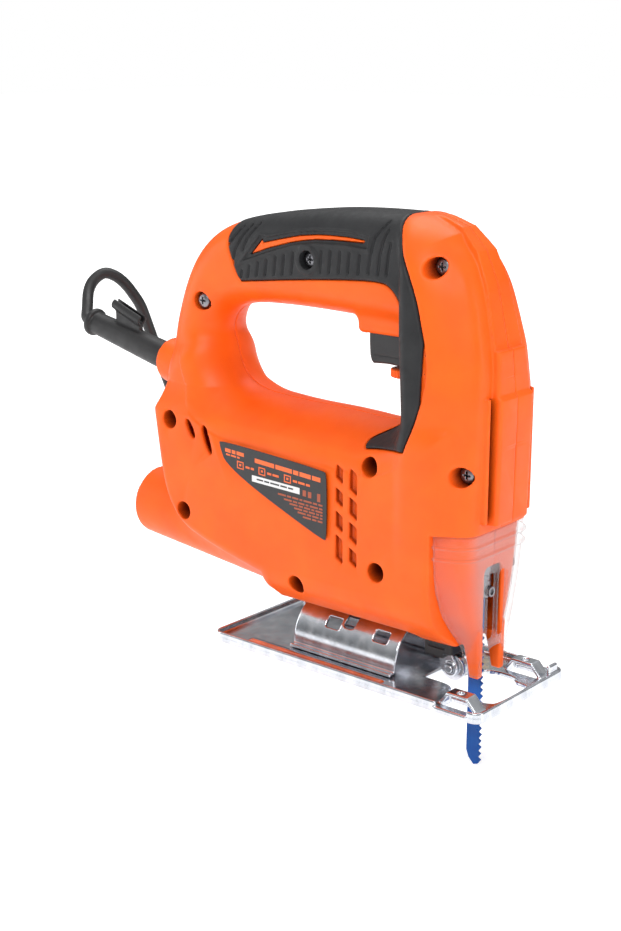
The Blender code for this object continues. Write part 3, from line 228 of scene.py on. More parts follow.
def line_distance(points, px, pz):
    best = np.full(np.broadcast(px, pz).shape, 1e9, np.float32)
    for (ax, az), (bx, bz) in zip(points, points[1:]):
        ex, ez = bx - ax, bz - az
        t = np.clip(((px - ax) * ex + (pz - az) * ez) / (ex * ex + ez * ez), 0, 1)
        best = np.minimum(best, (px - ax - ex * t) ** 2 + (pz - az - ez * t) ** 2)
    return np.sqrt(best)


def profile(outline, x, z):
    """Distance to an outline on the XZ plane, for a whole block of samples."""
    return polygon_distance(outline, x[:, :, 0], z[0])[:, None, :]


def from_axis(u, v, centre):
    """Distance from an axis that crosses the plane of u and v at a point."""
    return np.sqrt((u - centre[0]) ** 2 + (v - centre[1]) ** 2)


def union(fields):
    return reduce(np.minimum, fields)


def either(a, b, blend=0.0):
    """Union of two fields, with a fillet of about the blend's size."""
    if blend <= 0:
        return np.minimum(a, b)
    h = np.maximum(blend - np.abs(a - b), 0) / blend
    return np.minimum(a, b) - h * h * blend * 0.25


def both(a, b, blend=0.0):
    return -either(-a, -b, blend)


def without(a, b, blend=0.0):
    return both(a, -b, blend)


def thick(flat, across, half, radius):
    """A plane outline's distance made into a slab with rounded edges."""
    u = flat + radius
    v = np.abs(across) - (half - radius)
    outside = np.sqrt(np.maximum(u, 0) ** 2 + np.maximum(v, 0) ** 2)
    return outside + np.minimum(np.maximum(u, v), 0) - radius


def tube_field(x, y, z, start, end, radius, end_radius=None):
    """A round bar between two points, with flat ends."""
    start = np.array(start, float)
    end = np.array(end, float)
    axis = end - start
    length = np.linalg.norm(axis)
    axis = axis / length
    along = (x - start[0]) * axis[0] + (y - start[1]) * axis[1] + (z - start[2]) * axis[2]
    away = ((x - start[0]) ** 2 + (y - start[1]) ** 2 + (z - start[2]) ** 2) - along ** 2
    away = np.sqrt(np.maximum(away, 0))
    size = radius if end_radius is None else radius + (end_radius - radius) * along / length
    return np.maximum(away - size, np.abs(along - length / 2) - length / 2)


def box_field(x, y, z, low, high, radius=0.0):
    """A box, rounded by a radius."""
    parts = []
    for value, a, b in ((x, low[0], high[0]), (y, low[1], high[1]), (z, low[2], high[2])):
        parts.append(np.abs(value - (a + b) / 2) - ((b - a) / 2 - radius))
    outside = np.sqrt(sum(np.maximum(part, 0) ** 2 for part in parts))
    inside = np.minimum(np.maximum(np.maximum(parts[0], parts[1]), parts[2]), 0)
    return outside + inside - radius


def cells_to_mesh(field, origin, step):
    """Points and quads of the surface where the field is zero (surface nets)."""
    solid = field < 0
    nx, ny, nz = field.shape
    count = np.zeros((nx - 1, ny - 1, nz - 1), np.uint8)
    for i, j, k in product((0, 1), repeat=3):
        count += solid[i:nx - 1 + i, j:ny - 1 + j, k:nz - 1 + k]
    active = (count > 0) & (count < 8)
    cell = np.argwhere(active)
    index = np.full(active.shape, -1, np.int32)
    index[active] = np.arange(len(cell), dtype=np.int32)
    corner = np.empty((len(cell), 2, 2, 2), np.float32)
    for i, j, k in product((0, 1), repeat=3):
        corner[:, i, j, k] = field[cell[:, 0] + i, cell[:, 1] + j, cell[:, 2] + k]
    total = np.zeros((len(cell), 3), np.float32)
    hits = np.zeros(len(cell), np.float32)
    for axis, a, b in product(range(3), (0, 1), (0, 1)):
        first = [a, b]
        first.insert(axis, 0)
        last = [a, b]
        last.insert(axis, 1)
        u = corner[(slice(None), *first)]
        v = corner[(slice(None), *last)]
        cross = (u < 0) != (v < 0)
        place = np.array(first, np.float32)[None, :].repeat(len(cell), 0)
        place[:, axis] = np.where(cross, u / np.where(cross, u - v, 1), 0)
        total += place * cross[:, None]
        hits += cross
    inner = total / hits[:, None]
    for _ in range(3):
        x, y, z = inner[:, 0], inner[:, 1], inner[:, 2]
        cx = corner[:, 0] * (1 - x)[:, None, None] + corner[:, 1] * x[:, None, None]
        cy = cx[:, 0] * (1 - y)[:, None] + cx[:, 1] * y[:, None]
        value = cy[:, 0] * (1 - z) + cy[:, 1] * z
        dx = corner[:, 1] - corner[:, 0]
        dx = dx[:, 0] * (1 - y)[:, None] + dx[:, 1] * y[:, None]
        dx = dx[:, 0] * (1 - z) + dx[:, 1] * z
        dy = cx[:, 1] - cx[:, 0]
        dy = dy[:, 0] * (1 - z) + dy[:, 1] * z
        slope = np.stack([dx, dy, cy[:, 1] - cy[:, 0]], 1)
        size = np.maximum((slope ** 2).sum(1), 1e-6)
        inner = np.clip(inner - slope * (value / size)[:, None] * 0.8, 0.02, 0.98)
    points = (cell + inner) * step + np.array(origin, np.float32)
    quads = []
    for axis in range(3):
        low = [slice(1, n - 1) for n in (nx, ny, nz)]
        high = list(low)
        low[axis] = slice(0, (nx, ny, nz)[axis] - 1)
        high[axis] = slice(1, (nx, ny, nz)[axis])
        first = solid[tuple(low)]
        last = solid[tuple(high)]
        for flip, mask in ((False, first & ~last), (True, ~first & last)):
            at = np.argwhere(mask)
            at[:, (axis + 1) % 3] += 1
            at[:, (axis + 2) % 3] += 1
            ring = []
            for db, dc in ((1, 1), (0, 1), (0, 0), (1, 0)):
                offset = np.zeros(3, np.int64)
                offset[(axis + 1) % 3] = -db
                offset[(axis + 2) % 3] = -dc
                spot = at + offset
                ring.append(index[spot[:, 0], spot[:, 1], spot[:, 2]])
            quad = np.stack(ring, 1)
            quads.append(quad[:, ::-1] if flip else quad)
    return points, np.concatenate(quads)


def add_object(name, data):
    obj = bpy.data.objects.new(name, data)
    bpy.context.scene.collection.objects.link(obj)
    return obj


def mesh_object(name, points, faces, mat):
    mesh = bpy.data.meshes.new(name)
    mesh.vertices.add(len(points))
    mesh.vertices.foreach_set("co", (np.asarray(points, np.float32) * MM).ravel())
    mesh.loops.add(faces.size)
    mesh.loops.foreach_set("vertex_index", faces.astype(np.int32).ravel())
    mesh.polygons.add(len(faces))
    starts = np.arange(0, faces.size, faces.shape[1], dtype=np.int32)
    mesh.polygons.foreach_set("loop_start", starts)
    mesh.update(calc_edges=True)
    mesh.validate()
    mesh.materials.append(mat)
    mesh.shade_smooth()
    return add_object(name, mesh)


def field_object(name, build, low, high, step, mat, mirror=False):
    """Sample a field in a box and turn its surface into an object."""
    axes = [np.arange(a - step, b + 2 * step, step, dtype=np.float32)
            for a, b in zip(low, high)]
    x = axes[0][:, None, None]
    y = axes[1][None, :, None]
    z = axes[2][None, None, :]
    field = np.ascontiguousarray(build(x, y, z), np.float32)
    field = np.broadcast_to(field, [len(axis) for axis in axes]).copy()
    for axis, edge in product(range(3), (0, -1)):
        spot = [slice(None)] * 3
        spot[axis] = edge
        field[tuple(spot)] = np.maximum(field[tuple(spot)], 0.01)
    points, faces = cells_to_mesh(field, [axis[0] for axis in axes], step)
    if mirror:
        points[:, 1] *= -1
        faces = faces[:, ::-1]
    return mesh_object(name, points, faces, mat)


# ---------------------------------------------------------------- housing fields
def along_height(rows, column, z):
    """A column of a table of sections at every height, with its kinks softened."""
    fine = np.arange(-10, 260, 0.5)
    values = np.interp(fine, [row[0] for row in rows], [row[column] for row in rows])
    kernel = np.exp(-0.5 * (np.arange(-16, 17) * 0.5 / 3.0) ** 2)
    padded = np.pad(values, 16, mode="edge")
    values = np.convolve(padded, kernel / kernel.sum(), mode="valid")
    return np.interp(z, fine, values).astype(np.float32)


def tower_field(x, y, z):
    """The front form: slanted front corners, rounded, getting narrower at both ends."""
    rear, side_x, side_y, front_x, front_y = (along_height(FRONT_SECTIONS, c, z)
                                              for c in range(1, 6))
    nx = side_y - front_y
    ny = front_x - side_x
    size = np.sqrt(nx ** 2 + ny ** 2)
    slanted = ((x - side_x) * nx + (y - side_y) * ny) / size
    field = both(y - side_y, slanted, 5.0)
    field = both(field, x - front_x, 6.0)
    field = both(field, rear - x, 5.0)
    top = np.interp(x, [p[0] for p in TOWER_TOP], [p[1] for p in TOWER_TOP]).astype(np.float32)
    return both(field, (z - top) * 0.8, 9.0)


def band_field(x, y, z):
    front = np.interp(z, [r[0] for r in BAND_SECTIONS], [r[1] for r in BAND_SECTIONS])
    half = along_height([(r[0], r[2]) for r in BAND_SECTIONS], 1, z)
    field = both(y - half, x - front.astype(np.float32), 2.0)
    field = both(field, 77.9 - z, 1.2)
    top = np.interp(x, [-10, *[p[0] for p in TOWER_TOP]], [201.9, *[p[1] for p in TOWER_TOP]])
    return np.maximum(np.maximum(field, 27.0 - x), (z - top.astype(np.float32) - 0.4) * 0.8)


def port_axis(x):
    return 48.3 - (x + 143.6) * 0.0966


def cord_axis(x):
    return 121.0 - (x + 133) * 0.217


class Outlines:
    """Distances to the side outlines on the XZ plane, shared by all the fields."""

    def __init__(self, x, z):
        self.body = profile(smooth_loop(BODY_OUTLINE, BODY_SHARP), x, z)
        self.hole = profile(smooth_loop(HANDLE_HOLE, (), 4), x, z)
        self.handle = profile(smooth_loop(HANDLE_OUTER, HANDLE_SHARP), x, z)
        self.grip = profile(smooth_loop(GRIP_OUTLINE, GRIP_SHARP), x, z)
        self.guard = profile([*GUARD_LINE, (90, 0), (90, 74.2)], x, z)
        self.label = profile(smooth_loop(LABEL_OUTLINE, (), 2), x, z)


def flare(hole, y, half_width):
    """What the opening leaves: an elliptical sweep from its rim out to each side face."""
    depth = np.maximum(FLARE_DEPTH - hole, 0)
    near = (np.sqrt((depth / FLARE_DEPTH) ** 2 + (y / half_width) ** 2) - 1) * FLARE_DEPTH
    return np.where(hole < FLARE_DEPTH, near, np.abs(y) - half_width)


def outer_field(x, y, z, flat):
    """The closed outer form of the housing, before any hole is made in it."""
    edge = np.interp(x, [-85, -50, -20], [4.0, 5.5, 9.0])
    body = thick(flat.body, y, BODY_HALF_WIDTH, edge)
    body = both(body, (y - z + 5.5) * 0.7071, 4.0)
    shoulder = np.clip((-62 - x) / 22, 0, 1) * np.clip((z - 104) / 12, 0, 1)
    body = both(body, flare(flat.hole, y, BODY_HALF_WIDTH - 12 * shoulder), 6.0)
    handle = thick(flat.handle, y, HANDLE_HALF_WIDTH, 13.0)
    handle = both(handle, flare(flat.hole, y, HANDLE_HALF_WIDTH), 2.0)
    tower = without(tower_field(x, y, z), flat.hole, 4.0)
    field = either(body, handle, 15.0)
    field = either(field, np.maximum(tower, BODY_BOTTOM_Z - z), 5.0)
    boss = tube_field(x, y, z, (-100, 0, 113.3), (-133, 0, cord_axis(-133)), 11.5, 10.5)
    return either(field, both(boss, -133.0 - x, 2.0), 4.0)


def housing_field(x, y, z, side):
    """One clamshell half, as seen from its own side: y runs outwards from the seam."""

    def box(*shape):
        return box_field(x, y, z, *shape)

    def tube(*shape):
        return tube_field(x, y, z, *shape)

    flat = Outlines(x, z)
    outer = outer_field(x, y, z, flat)
    port = tube((-56, 0, port_axis(-56)), (PORT_END_X, 0, port_axis(PORT_END_X)), PORT_RADIUS)
    nose = np.maximum(np.maximum(tower_field(x, y, z) + 2.6, z - 80.0), BODY_BOTTOM_Z - z)
    solid = np.maximum(outer, -flat.guard)
    hollow = either(solid + WALL, np.maximum(nose + 1.8, z - 84.0))
    solid = either(solid, both(port, PORT_END_X - x, 1.5), 15.0)
    solid = either(solid, band_field(x, y, z), 0.8)
    solid = either(solid, box((58, 14.7, 79.5), (64.2, 16.8, 132.2), 0.7), 0.8)
    solid = without(solid, box((60.2, 12.1, 79), (80, 14.6, 131.6), 0.6), 0.6)
    solid = either(solid, nose)
    solid = either(solid, thick(profile(LEG_OUTLINE, x, z), y - 8.2, 2.0, 0.7), 1.5)
    solid = either(solid, box((-10, -9, 149.6), (20.5, 9.3, 166.5), 2.6), 4.0)

    # Inside, bosses and ribs fill up parts of the hollow
    ribs = [
        ((36, -1, 76.3), (58, 40, 82.7)), ((36, -1, 127), (58, 40, 135)),
        ((-75.5, -1, 62), (-69.8, 40, 94)), ((18.2, 24, 62), (19.7, 40, 112)),
        ((23.8, 24, 62), (25.3, 40, 112)), ((-44, 21, 66), (-42.4, 40, 90)),
        ((-7.6, 21, 66), (-6.0, 40, 90)), ((-8, 26.2, 49), (10, 40, 99)),
        ((-10, -1, 149), (20.5, 9.3, 164.5)),
    ]
    boss = np.minimum(union(from_axis(x, z, place) - 5.9 for place in SCREWS),
                      np.maximum(from_axis(x, z, FRONT_SCREW) - 5.7, 7.2 - y))
    boss = np.minimum(boss, union(box(*rib) for rib in ribs))
    boss = np.minimum(boss, tube((-108, 0, 37.2), (-46, 0, 31.2), 7.8))
    boss = np.minimum(boss, tube((BEVEL_SCREW_X, 0, 20), (BEVEL_SCREW_X, 0, 36), 6))
    solid = np.maximum(solid, -np.maximum(hollow, -boss))

    tubes = [
        ((PLUNGER_X, 0, 70), (PLUNGER_X, 0, 140), 6.9),
        ((-80, 0, MOTOR_Z), (-66, 0, MOTOR_Z), 9.8),
        ((BEVEL_SCREW_X, 0, 15), (BEVEL_SCREW_X, 0, 35), 2.8),
        ((-60, 0, BEVEL_AXIS_Z), (21, 0, BEVEL_AXIS_Z), SEGMENT_RADIUS + 0.4),
        ((-106, 0, cord_axis(-106)), (-140, 0, cord_axis(-140)), 7.1),
        ((-104, 0, port_axis(-104)), (-150, 0, port_axis(-150)), 14.4),
        ((-106, 0, 37.0), (-50.5, 0, 31.6), 6.0),
    ]
    boxes = [
        ((-42.4, -25.3, MOTOR_Z - 25.3), (-7.6, 25.3, MOTOR_Z + 25.3), 8.6),
        ((22.5, -8, 10), (44.5, 8, 33), 0.5), ((40, -5.9, 0), (70, 5.9, 30)),
        ((52, -6.6, 22), (80, 6.6, 57), 3.0), ((-58, -5, 15), (-51, 5, 32)),
        ((-5.4, -7.4, 140), (18.6, 7.4, 170), 0.6),
    ]
    boxes += [((-125, 9, height - 1.1), (-96, 24, height + 1.1), 0.9)
              for height in (65.5, 71.5, 77.5, 83.5, 89.5)]
    if side > 0:
        tubes += [((TRIGGER_X, 8, LOCK_Z), (TRIGGER_X, 40, LOCK_Z), 4.5),
                  ((LEVER_AXIS[0], 20, LEVER_AXIS[1]), (LEVER_AXIS[0], 40, LEVER_AXIS[1]), 4.4)]
    cuts = np.minimum(union(tube(*shape) for shape in tubes), union(box(*shape) for shape in boxes))
    vents = union(profile(outline, x, z) for outline in vent_outlines())
    cuts = np.minimum(cuts, np.maximum(vents, 26.5 - y))
    for place in SCREWS:
        away = from_axis(x, z, place)
        if side < 0:
            lined = 0.7 if place == HANDLE_TOP_SCREW else 0.0
            cuts = np.minimum(cuts, np.maximum(away - WELL_RADIUS - lined, WELL_FLOOR_Y - y))
        cuts = np.minimum(cuts, np.maximum(away - SCREW_HOLE_RADIUS, y - (14 if side < 0 else 11)))
    if side < 0:
        away = from_axis(x, z, FRONT_SCREW)
        cuts = np.minimum(cuts, np.maximum(away - WELL_RADIUS, FRONT_WELL_FLOOR_Y - y))
        cuts = np.minimum(cuts, np.maximum(away - SCREW_HOLE_RADIUS, 6.0 - y))
        cuts = np.minimum(cuts, np.maximum(flat.label - 0.3, 30.4 - y))
    recess = np.maximum(flat.grip - 0.25, -(outer + 1.7))
    arrow = profile(ARROW, x, z)
    recess = np.maximum(recess, -np.maximum(arrow + 0.3, outer + 0.35))
    solid = without(solid, recess, 0.5)
    solid = without(solid, cuts, 0.5)
    return np.maximum(solid, SEAM - y)


def vent_outlines():
    """Slots over the fan and the brushes, as slanted outlines."""
    outlines = []
    for x0, x1, spans in VENT_COLUMNS:
        for low, high in spans:
            outlines.append([(x0, low + VENT_SLANT), (x1, low), (x1, high - VENT_SLANT),
                             (x0, high)])
    return outlines + [smooth_loop(corners, (), 2) for corners in REAR_VENTS]


def grip_field(x, y, z, side):
    """The soft overmould of one half, with its ridges, slots and arrow window."""
    flat = Outlines(x, z)
    outer = outer_field(x, y, z, flat)
    proud = 0.35
    frame_edge = profile(ARROW_FRAME, x, z)
    ridge = np.abs(frame_edge) - 0.55
    skin = outer - proud
    skin = either(skin, np.maximum(outer - proud - 0.45, ridge), 0.5)
    skin = without(skin, np.maximum(frame_edge + 0.5, -(outer - proud + 0.45)), 0.3)
    slots = union(line_distance(line, x[:, :, 0], z[0])[:, None, :] - 0.55 for line in GRIP_SLOTS)
    skin = without(skin, np.maximum(slots, -(outer - proud + 0.85)), 0.5)
    field = both(skin, flat.grip, 1.4)
    field = np.maximum(field, -(outer + 1.4))
    field = np.maximum(field, -profile(ARROW, x, z))
    if side < 0:
        away = from_axis(x, z, HANDLE_TOP_SCREW)
        field = either(field, np.maximum(np.maximum(away - 6.4, outer - proud - 0.5),
                                         -(outer + 1.4)), 0.5)
        field = np.maximum(field, 4.0 - away)
        lining = np.maximum(np.maximum(away - 4.75, 3.95 - away), 12.5 - y)
        field = either(field, np.maximum(lining, outer + 1.0), 0.3)
    return np.maximum(field, SEAM - y)


# ---------------------------------------------------------------- materials
def principled(mat):
    return next(node for node in mat.node_tree.nodes if node.type == "BSDF_PRINCIPLED")


def add_node(tree, kind, settings=(), **sockets):
    """A shader node with its settings and the values of its unlinked sockets."""
    node = tree.nodes.new("ShaderNode" + kind)
    for name, value in dict(settings).items():
        setattr(node, name, value)
    for name, value in sockets.items():
        node.inputs[name.replace("_", " ")].default_value = value
    return node


def surface(name, light, dark, roughness, metallic=0.0, mottle=18.0, grain=0.35, bump=0.04,
            stretch=(1, 1, 1), streaks=0.0, hollow=None, **sockets):
    """A procedural finish. Sizes are in mm; light and dark are its two base colours; hollow, when
    given, is the colour of painted shade in cavities.
    """
    mat = bpy.data.materials.new(name)
    mat.use_nodes = True
    tree = mat.node_tree
    link = tree.links.new
    shader = principled(mat)
    shader.inputs["Metallic"].default_value = metallic
    for socket, value in sockets.items():
        shader.inputs[socket.replace("_", " ")].default_value = value
    place = add_node(tree, "TexCoord")
    size = add_node(tree, "Mapping", Scale=[1000 * s for s in stretch])
    link(place.outputs["Object"], size.inputs["Vector"])

    def texture(kind, scale_mm, detail, distortion=0.0):
        node = add_node(tree, kind, Scale=1 / scale_mm, Detail=detail, Distortion=distortion)
        link(size.outputs["Vector"], node.inputs["Vector"])
        return node

    wide = texture("TexNoise", mottle, 3.0)
    fine = texture("TexNoise", grain, 4.0)
    blend = add_node(tree, "Math", {"operation": "MULTIPLY_ADD"})
    blend.inputs[1].default_value = 0.35
    link(fine.outputs["Fac"], blend.inputs[0])
    link(wide.outputs["Fac"], blend.inputs[2])
    ramp = add_node(tree, "ValToRGB")
    for element, position, base in zip(ramp.color_ramp.elements, (0.45, 0.9), (dark, light)):
        element.position = position
        element.color = (*base, 1)
    link(blend.outputs["Value"], ramp.inputs["Fac"])
    colour = ramp.outputs["Color"]
    # Painted shade: an ambient occlusion node darkens the colour towards the hollow colour in
    # cavities and recesses, where shade falls.
    if hollow:
        cavity_shade_ao = add_node(tree, "AmbientOcclusion", {"samples": 6, "only_local": True}, Distance=0.011)
        depth = add_node(tree, "MapRange", {"interpolation_type": "SMOOTHSTEP"}, From_Min=0.12,
                         From_Max=0.62)
        link(cavity_shade_ao.outputs["AO"], depth.inputs["Value"])
        mix = add_node(tree, "Mix", {"data_type": "RGBA"}, A=(*hollow, 1))
        link(depth.outputs["Result"], mix.inputs["Factor"])
        link(colour, mix.inputs["B"])
        colour = mix.outputs["Result"]
    link(colour, shader.inputs["Base Color"])

    rough = add_node(tree, "MapRange", From_Min=0.3, From_Max=0.7, To_Min=roughness[0],
                     To_Max=roughness[1])
    patch = texture("TexNoise", mottle * 0.35, 5.0, 0.4)
    link(patch.outputs["Fac"], rough.inputs["Value"])
    link(rough.outputs["Result"], shader.inputs["Roughness"])

    height = texture("TexWave", streaks, 3.0, 6.0) if streaks else fine
    relief = add_node(tree, "Bump", Strength=0.6, Distance=bump * MM)
    link(height.outputs["Fac"], relief.inputs["Height"])
    link(relief.outputs["Normal"], shader.inputs["Normal"])
    return mat


FINISH = {
    # The orange shell has painted shade: dark brown in its cavities and recesses.
    "orange_shell": surface("moulded_orange", (0.95, 0.125, 0.004), (0.88, 0.100, 0.003),
                            (0.38, 0.48), grain=0.3, bump=0.03, hollow=(0.10, 0.008, 0.002),
                            Specular_IOR_Level=0.3),
    "soft_grip": surface("soft_overmould", (0.020, 0.0205, 0.022), (0.012, 0.0125, 0.014),
                         (0.46, 0.60), mottle=9, grain=0.22, bump=0.05, Specular_IOR_Level=0.32),
    "black_plastic": surface("black_nylon", (0.014, 0.014, 0.016), (0.008, 0.008, 0.009),
                             (0.34, 0.5), grain=0.3, bump=0.04),
    "cord_rubber": surface("cord_sheath", (0.015, 0.015, 0.016), (0.008, 0.008, 0.009),
                           (0.42, 0.56), mottle=14, grain=0.4, bump=0.035),
    # The clear plastic's grey colour, shown where it is seen edge on, is painted reflection.
    "clear_plastic": surface("clear_polycarbonate", (0.50, 0.51, 0.53), (0.43, 0.44, 0.46),
                             (0.05, 0.12), mottle=24, grain=1.4, bump=0.012),
    "zinc_steel": surface("bright_zinc", (0.76, 0.78, 0.82), (0.54, 0.57, 0.62), (0.16, 0.27), 1.0,
                          mottle=7, grain=0.5, bump=0.012, stretch=(1, 1, 0.25)),
    "dark_steel": surface("blackened_steel", (0.30, 0.30, 0.32), (0.19, 0.19, 0.21), (0.3, 0.45),
                          1.0, mottle=4, grain=0.3, bump=0.02),
    "laminated_steel": surface("lamination_stack", (0.42, 0.41, 0.40), (0.26, 0.25, 0.25),
                               (0.4, 0.6), 1.0, mottle=5, grain=0.6, bump=0.12, streaks=1.3),
    "aluminium": surface("cast_alloy", (0.72, 0.73, 0.74), (0.56, 0.57, 0.59), (0.36, 0.55), 1.0,
                         mottle=6, grain=0.5, bump=0.06),
    "copper": surface("enamelled_winding", (0.72, 0.30, 0.13), (0.50, 0.16, 0.06), (0.22, 0.38), 1.0,
                      mottle=3, grain=0.5, bump=0.2, streaks=0.6),
    "brass": surface("turned_brass", (0.84, 0.64, 0.28), (0.70, 0.49, 0.19), (0.2, 0.34), 1.0,
                     mottle=3, grain=0.3, bump=0.015),
    "carbon": surface("pressed_carbon", (0.05, 0.05, 0.052), (0.03, 0.03, 0.03), (0.6, 0.8),
                      mottle=2, grain=0.25, bump=0.06),
    "blue_paint": surface("blue_blade_lacquer", (0.0, 0.08, 0.35), (0.0, 0.06, 0.29), (0.26, 0.4),
                          mottle=9, grain=0.5, bump=0.012, Specular_IOR_Level=0.3),
    "label": surface("printed_film", (0.020, 0.020, 0.022), (0.014, 0.014, 0.016), (0.32, 0.42),
                     mottle=12, grain=0.5, bump=0.01),
}


def see_through(mat, face_on, edge_on):
    """Clear plastic: nearly transparent where it is seen face on; edge on its grey colour shows more,
    a painted reflection.
    """
    link = mat.node_tree.links.new
    weight = add_node(mat.node_tree, "LayerWeight", Blend=0.2)
    alpha_with_edge_reflection = add_node(mat.node_tree, "MapRange", To_Min=face_on, To_Max=edge_on)
    link(weight.outputs["Facing"], alpha_with_edge_reflection.inputs["Value"])
    link(alpha_with_edge_reflection.outputs["Result"], principled(mat).inputs["Alpha"])


see_through(FINISH["clear_plastic"], 0.02, 0.80)
PRINTS = [surface(name, light, dark, (0.35, 0.45), bump=0.01) for name, light, dark in (
    ("orange_print", (0.92, 0.16, 0.03), (0.8, 0.12, 0.02)),
    ("brown_print", (0.42, 0.085, 0.03), (0.34, 0.065, 0.022)),
    ("white_print", (0.8, 0.8, 0.8), (0.7, 0.7, 0.7)),
)]


def put(obj, body, slot, *nodes):
    """A piece rides a body and stands for CAD nodes, which it hides; slot is not used."""
    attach(obj, body)
    if nodes:
        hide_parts(*nodes)
    return obj


def thin(obj, faces):
    """Merge small faces on the flat parts of a dense mesh."""
    count = len(obj.data.polygons) * 2
    if count > faces:
        change = obj.modifiers.new("thin", "DECIMATE")
        change.ratio = faces / count
        mesh = bpy.data.meshes.new_from_object(
            obj.evaluated_get(bpy.context.evaluated_depsgraph_get()))
        obj.modifiers.clear()
        obj.data = mesh
        mesh.shade_smooth()


def piece(name, build, low, high, step, body, slot, node, faces=None, mirror=False):
    """A field's surface as a piece that stands for one CAD node."""
    obj = field_object(name, build, low, high, step, FINISH[slot], mirror)
    if faces:
        thin(obj, faces)
    put(obj, body, slot, node)


# ---------------------------------------------------------------- camera, stage, lights
camera = add_object("camera", bpy.data.cameras.new("camera"))
camera.location = (0.4118, -0.5358, 0.2747)
camera.rotation_euler = (math.radians(74.72), 0, math.radians(40.36))
camera.data.lens = 61.69
camera.data.sensor_width = 36
camera.data.clip_end = 20
bpy.context.scene.camera = camera
bpy.context.scene.view_settings.view_transform = "Standard"


def stage_mesh(name, low, high, mat):
    mesh = bpy.data.meshes.new(name)
    bm = bmesh.new()
    bmesh.ops.create_cube(bm, size=1)
    for vert in bm.verts:
        vert.co = [(a + b) / 2 * MM + c * (b - a) * MM for a, b, c in zip(low, high, vert.co)]
    bm.to_mesh(mesh)
    bm.free()
    mesh.materials.append(mat)
    obj = add_object(name, mesh)


FLOOR_Z = -38.2
GLOW_NEAR = 0.38
GLOW_FAR = 0.95
PALE = surface("pale_floor", (0.90, 0.90, 0.905), (0.88, 0.88, 0.885), (0.7, 0.8), mottle=60,
               grain=2, bump=0.01, Specular_IOR_Level=0.1, Emission_Color=(1, 1, 1, 1),
               Emission_Strength=GLOW_NEAR)


def floor_material():
    """The pale surface, brighter with the distance so that it ends in the white backdrop."""
    mat = PALE.copy()
    mat.name = "pale_sweep"
    tree = mat.node_tree
    place = add_node(tree, "TexCoord")
    length = add_node(tree, "VectorMath", {"operation": "LENGTH"})
    tree.links.new(place.outputs["Object"], length.inputs[0])
    sweep = add_node(tree, "MapRange", {"interpolation_type": "SMOOTHSTEP"}, From_Min=0.3,
                     From_Max=2.0, To_Min=GLOW_NEAR, To_Max=GLOW_FAR)
    tree.links.new(length.outputs["Value"], sweep.inputs["Value"])
    tree.links.new(sweep.outputs["Result"], principled(mat).inputs["Emission Strength"])
    return mat


stage_mesh("floor", (-6000, -6000, FLOOR_Z - 5), (6000, 6000, FLOOR_Z), floor_material())
stage_mesh("stand_shelf", (-142, 55, -3.1), (18, 99, -0.1), PALE)
stage_mesh("stand_strip", (-70, -20, -3.1), (-20, 55, -0.1), PALE)
stage_mesh("stand_foot", (-142, 84, FLOOR_Z), (-20, 99, -3.1), PALE)


def area_light(name, place, target, size, power):
    light = bpy.data.lights.new(name, "AREA")
    light.shape = "RECTANGLE"
    light.size, light.size_y = size
    light.energy = power
    obj = add_object(name, light)
    obj.location = place
    obj.rotation_euler = (Vector(target) - Vector(place)).to_track_quat("-Z", "Y").to_euler()


area_light("key", (0.55, -1.15, 1.05), (-0.03, 0, 0.09), (0.7, 0.55), 11)
area_light("side_fill", (-1.35, -0.75, 0.45), (-0.03, 0, 0.08), (0.45, 1.0), 5)
area_light("top", (-0.25, 0.35, 1.4), (-0.03, 0, 0.09), (1.0, 1.0), 12)
area_light("front_strip", (1.3, 0.1, 0.35), (0, 0, 0.07), (0.3, 1.1), 4)


WORLD_LOW = 0.16
WORLD_HIGH = 0.62


def studio_world():
    """White for the camera; for light and reflections dim at the sides and brighter above."""
    world = bpy.data.worlds.new("studio")
    world.use_nodes = True
    tree = world.node_tree
    link = tree.links.new
    background = tree.nodes["Background"]
    background.inputs["Color"].default_value = (1, 1, 1, 1)
    place = add_node(tree, "TexCoord")
    split = add_node(tree, "SeparateXYZ")
    link(place.outputs["Generated"], split.inputs["Vector"])
    rise = add_node(tree, "MapRange", {"interpolation_type": "SMOOTHSTEP"}, From_Min=0.02,
                    From_Max=0.85, To_Min=WORLD_LOW, To_Max=WORLD_HIGH)
    link(split.outputs["Z"], rise.inputs["Value"])
    path = add_node(tree, "LightPath")
    mix = add_node(tree, "Mix", B=1.0)
    link(path.outputs["Is Camera Ray"], mix.inputs["Factor"])
    link(rise.outputs["Result"], mix.inputs["A"])
    link(mix.outputs["Result"], background.inputs["Strength"])
    return world


bpy.context.scene.world = studio_world()

# ---------------------------------------------------------------- cord
CORD_ROUTE = [
    (-189.5, 0, 133.25), (-192.6, 0.4, 134.2), (-196, 4, 138.5), (-201.5, 10, 145), (-203, 15, 150),
    (-201, 20.5, 153.4), (-198, 25, 152), (-195, 29, 148), (-192.8, 33, 142), (-191, 36.5, 135.4),
    (-190, 39.5, 127), (-188.5, 42, 118), (-185.5, 44, 107), (-181, 45.5, 95), (-176, 46.5, 82),
    (-170.5, 47.5, 69), (-165, 48.5, 56), (-159.5, 50, 43), (-155, 52, 30.5), (-152, 53.6, 20.5),
    (-148.3, 55.8, 11.5), (-143.5, 57.9, 5.2), (-138.3, 59.3, 3.2), (-132.9, 59.8, 3.1),
]
PLUG_Y = 61.0
PLUG_Z = 13.3
HANK_CENTRE_Y = 77.0
HANK_ENDS = (-118.0, -66.0)
HANK_RADII = (17.1, 11.3)
LAYER_Z = (3.1, 8.9, 14.7, 20.5)
HANK_STATES = [(0, 0), (1, 0), (1, 1), (0, 1), (0, 2), (1, 2), (1, 3), (0, 3)]


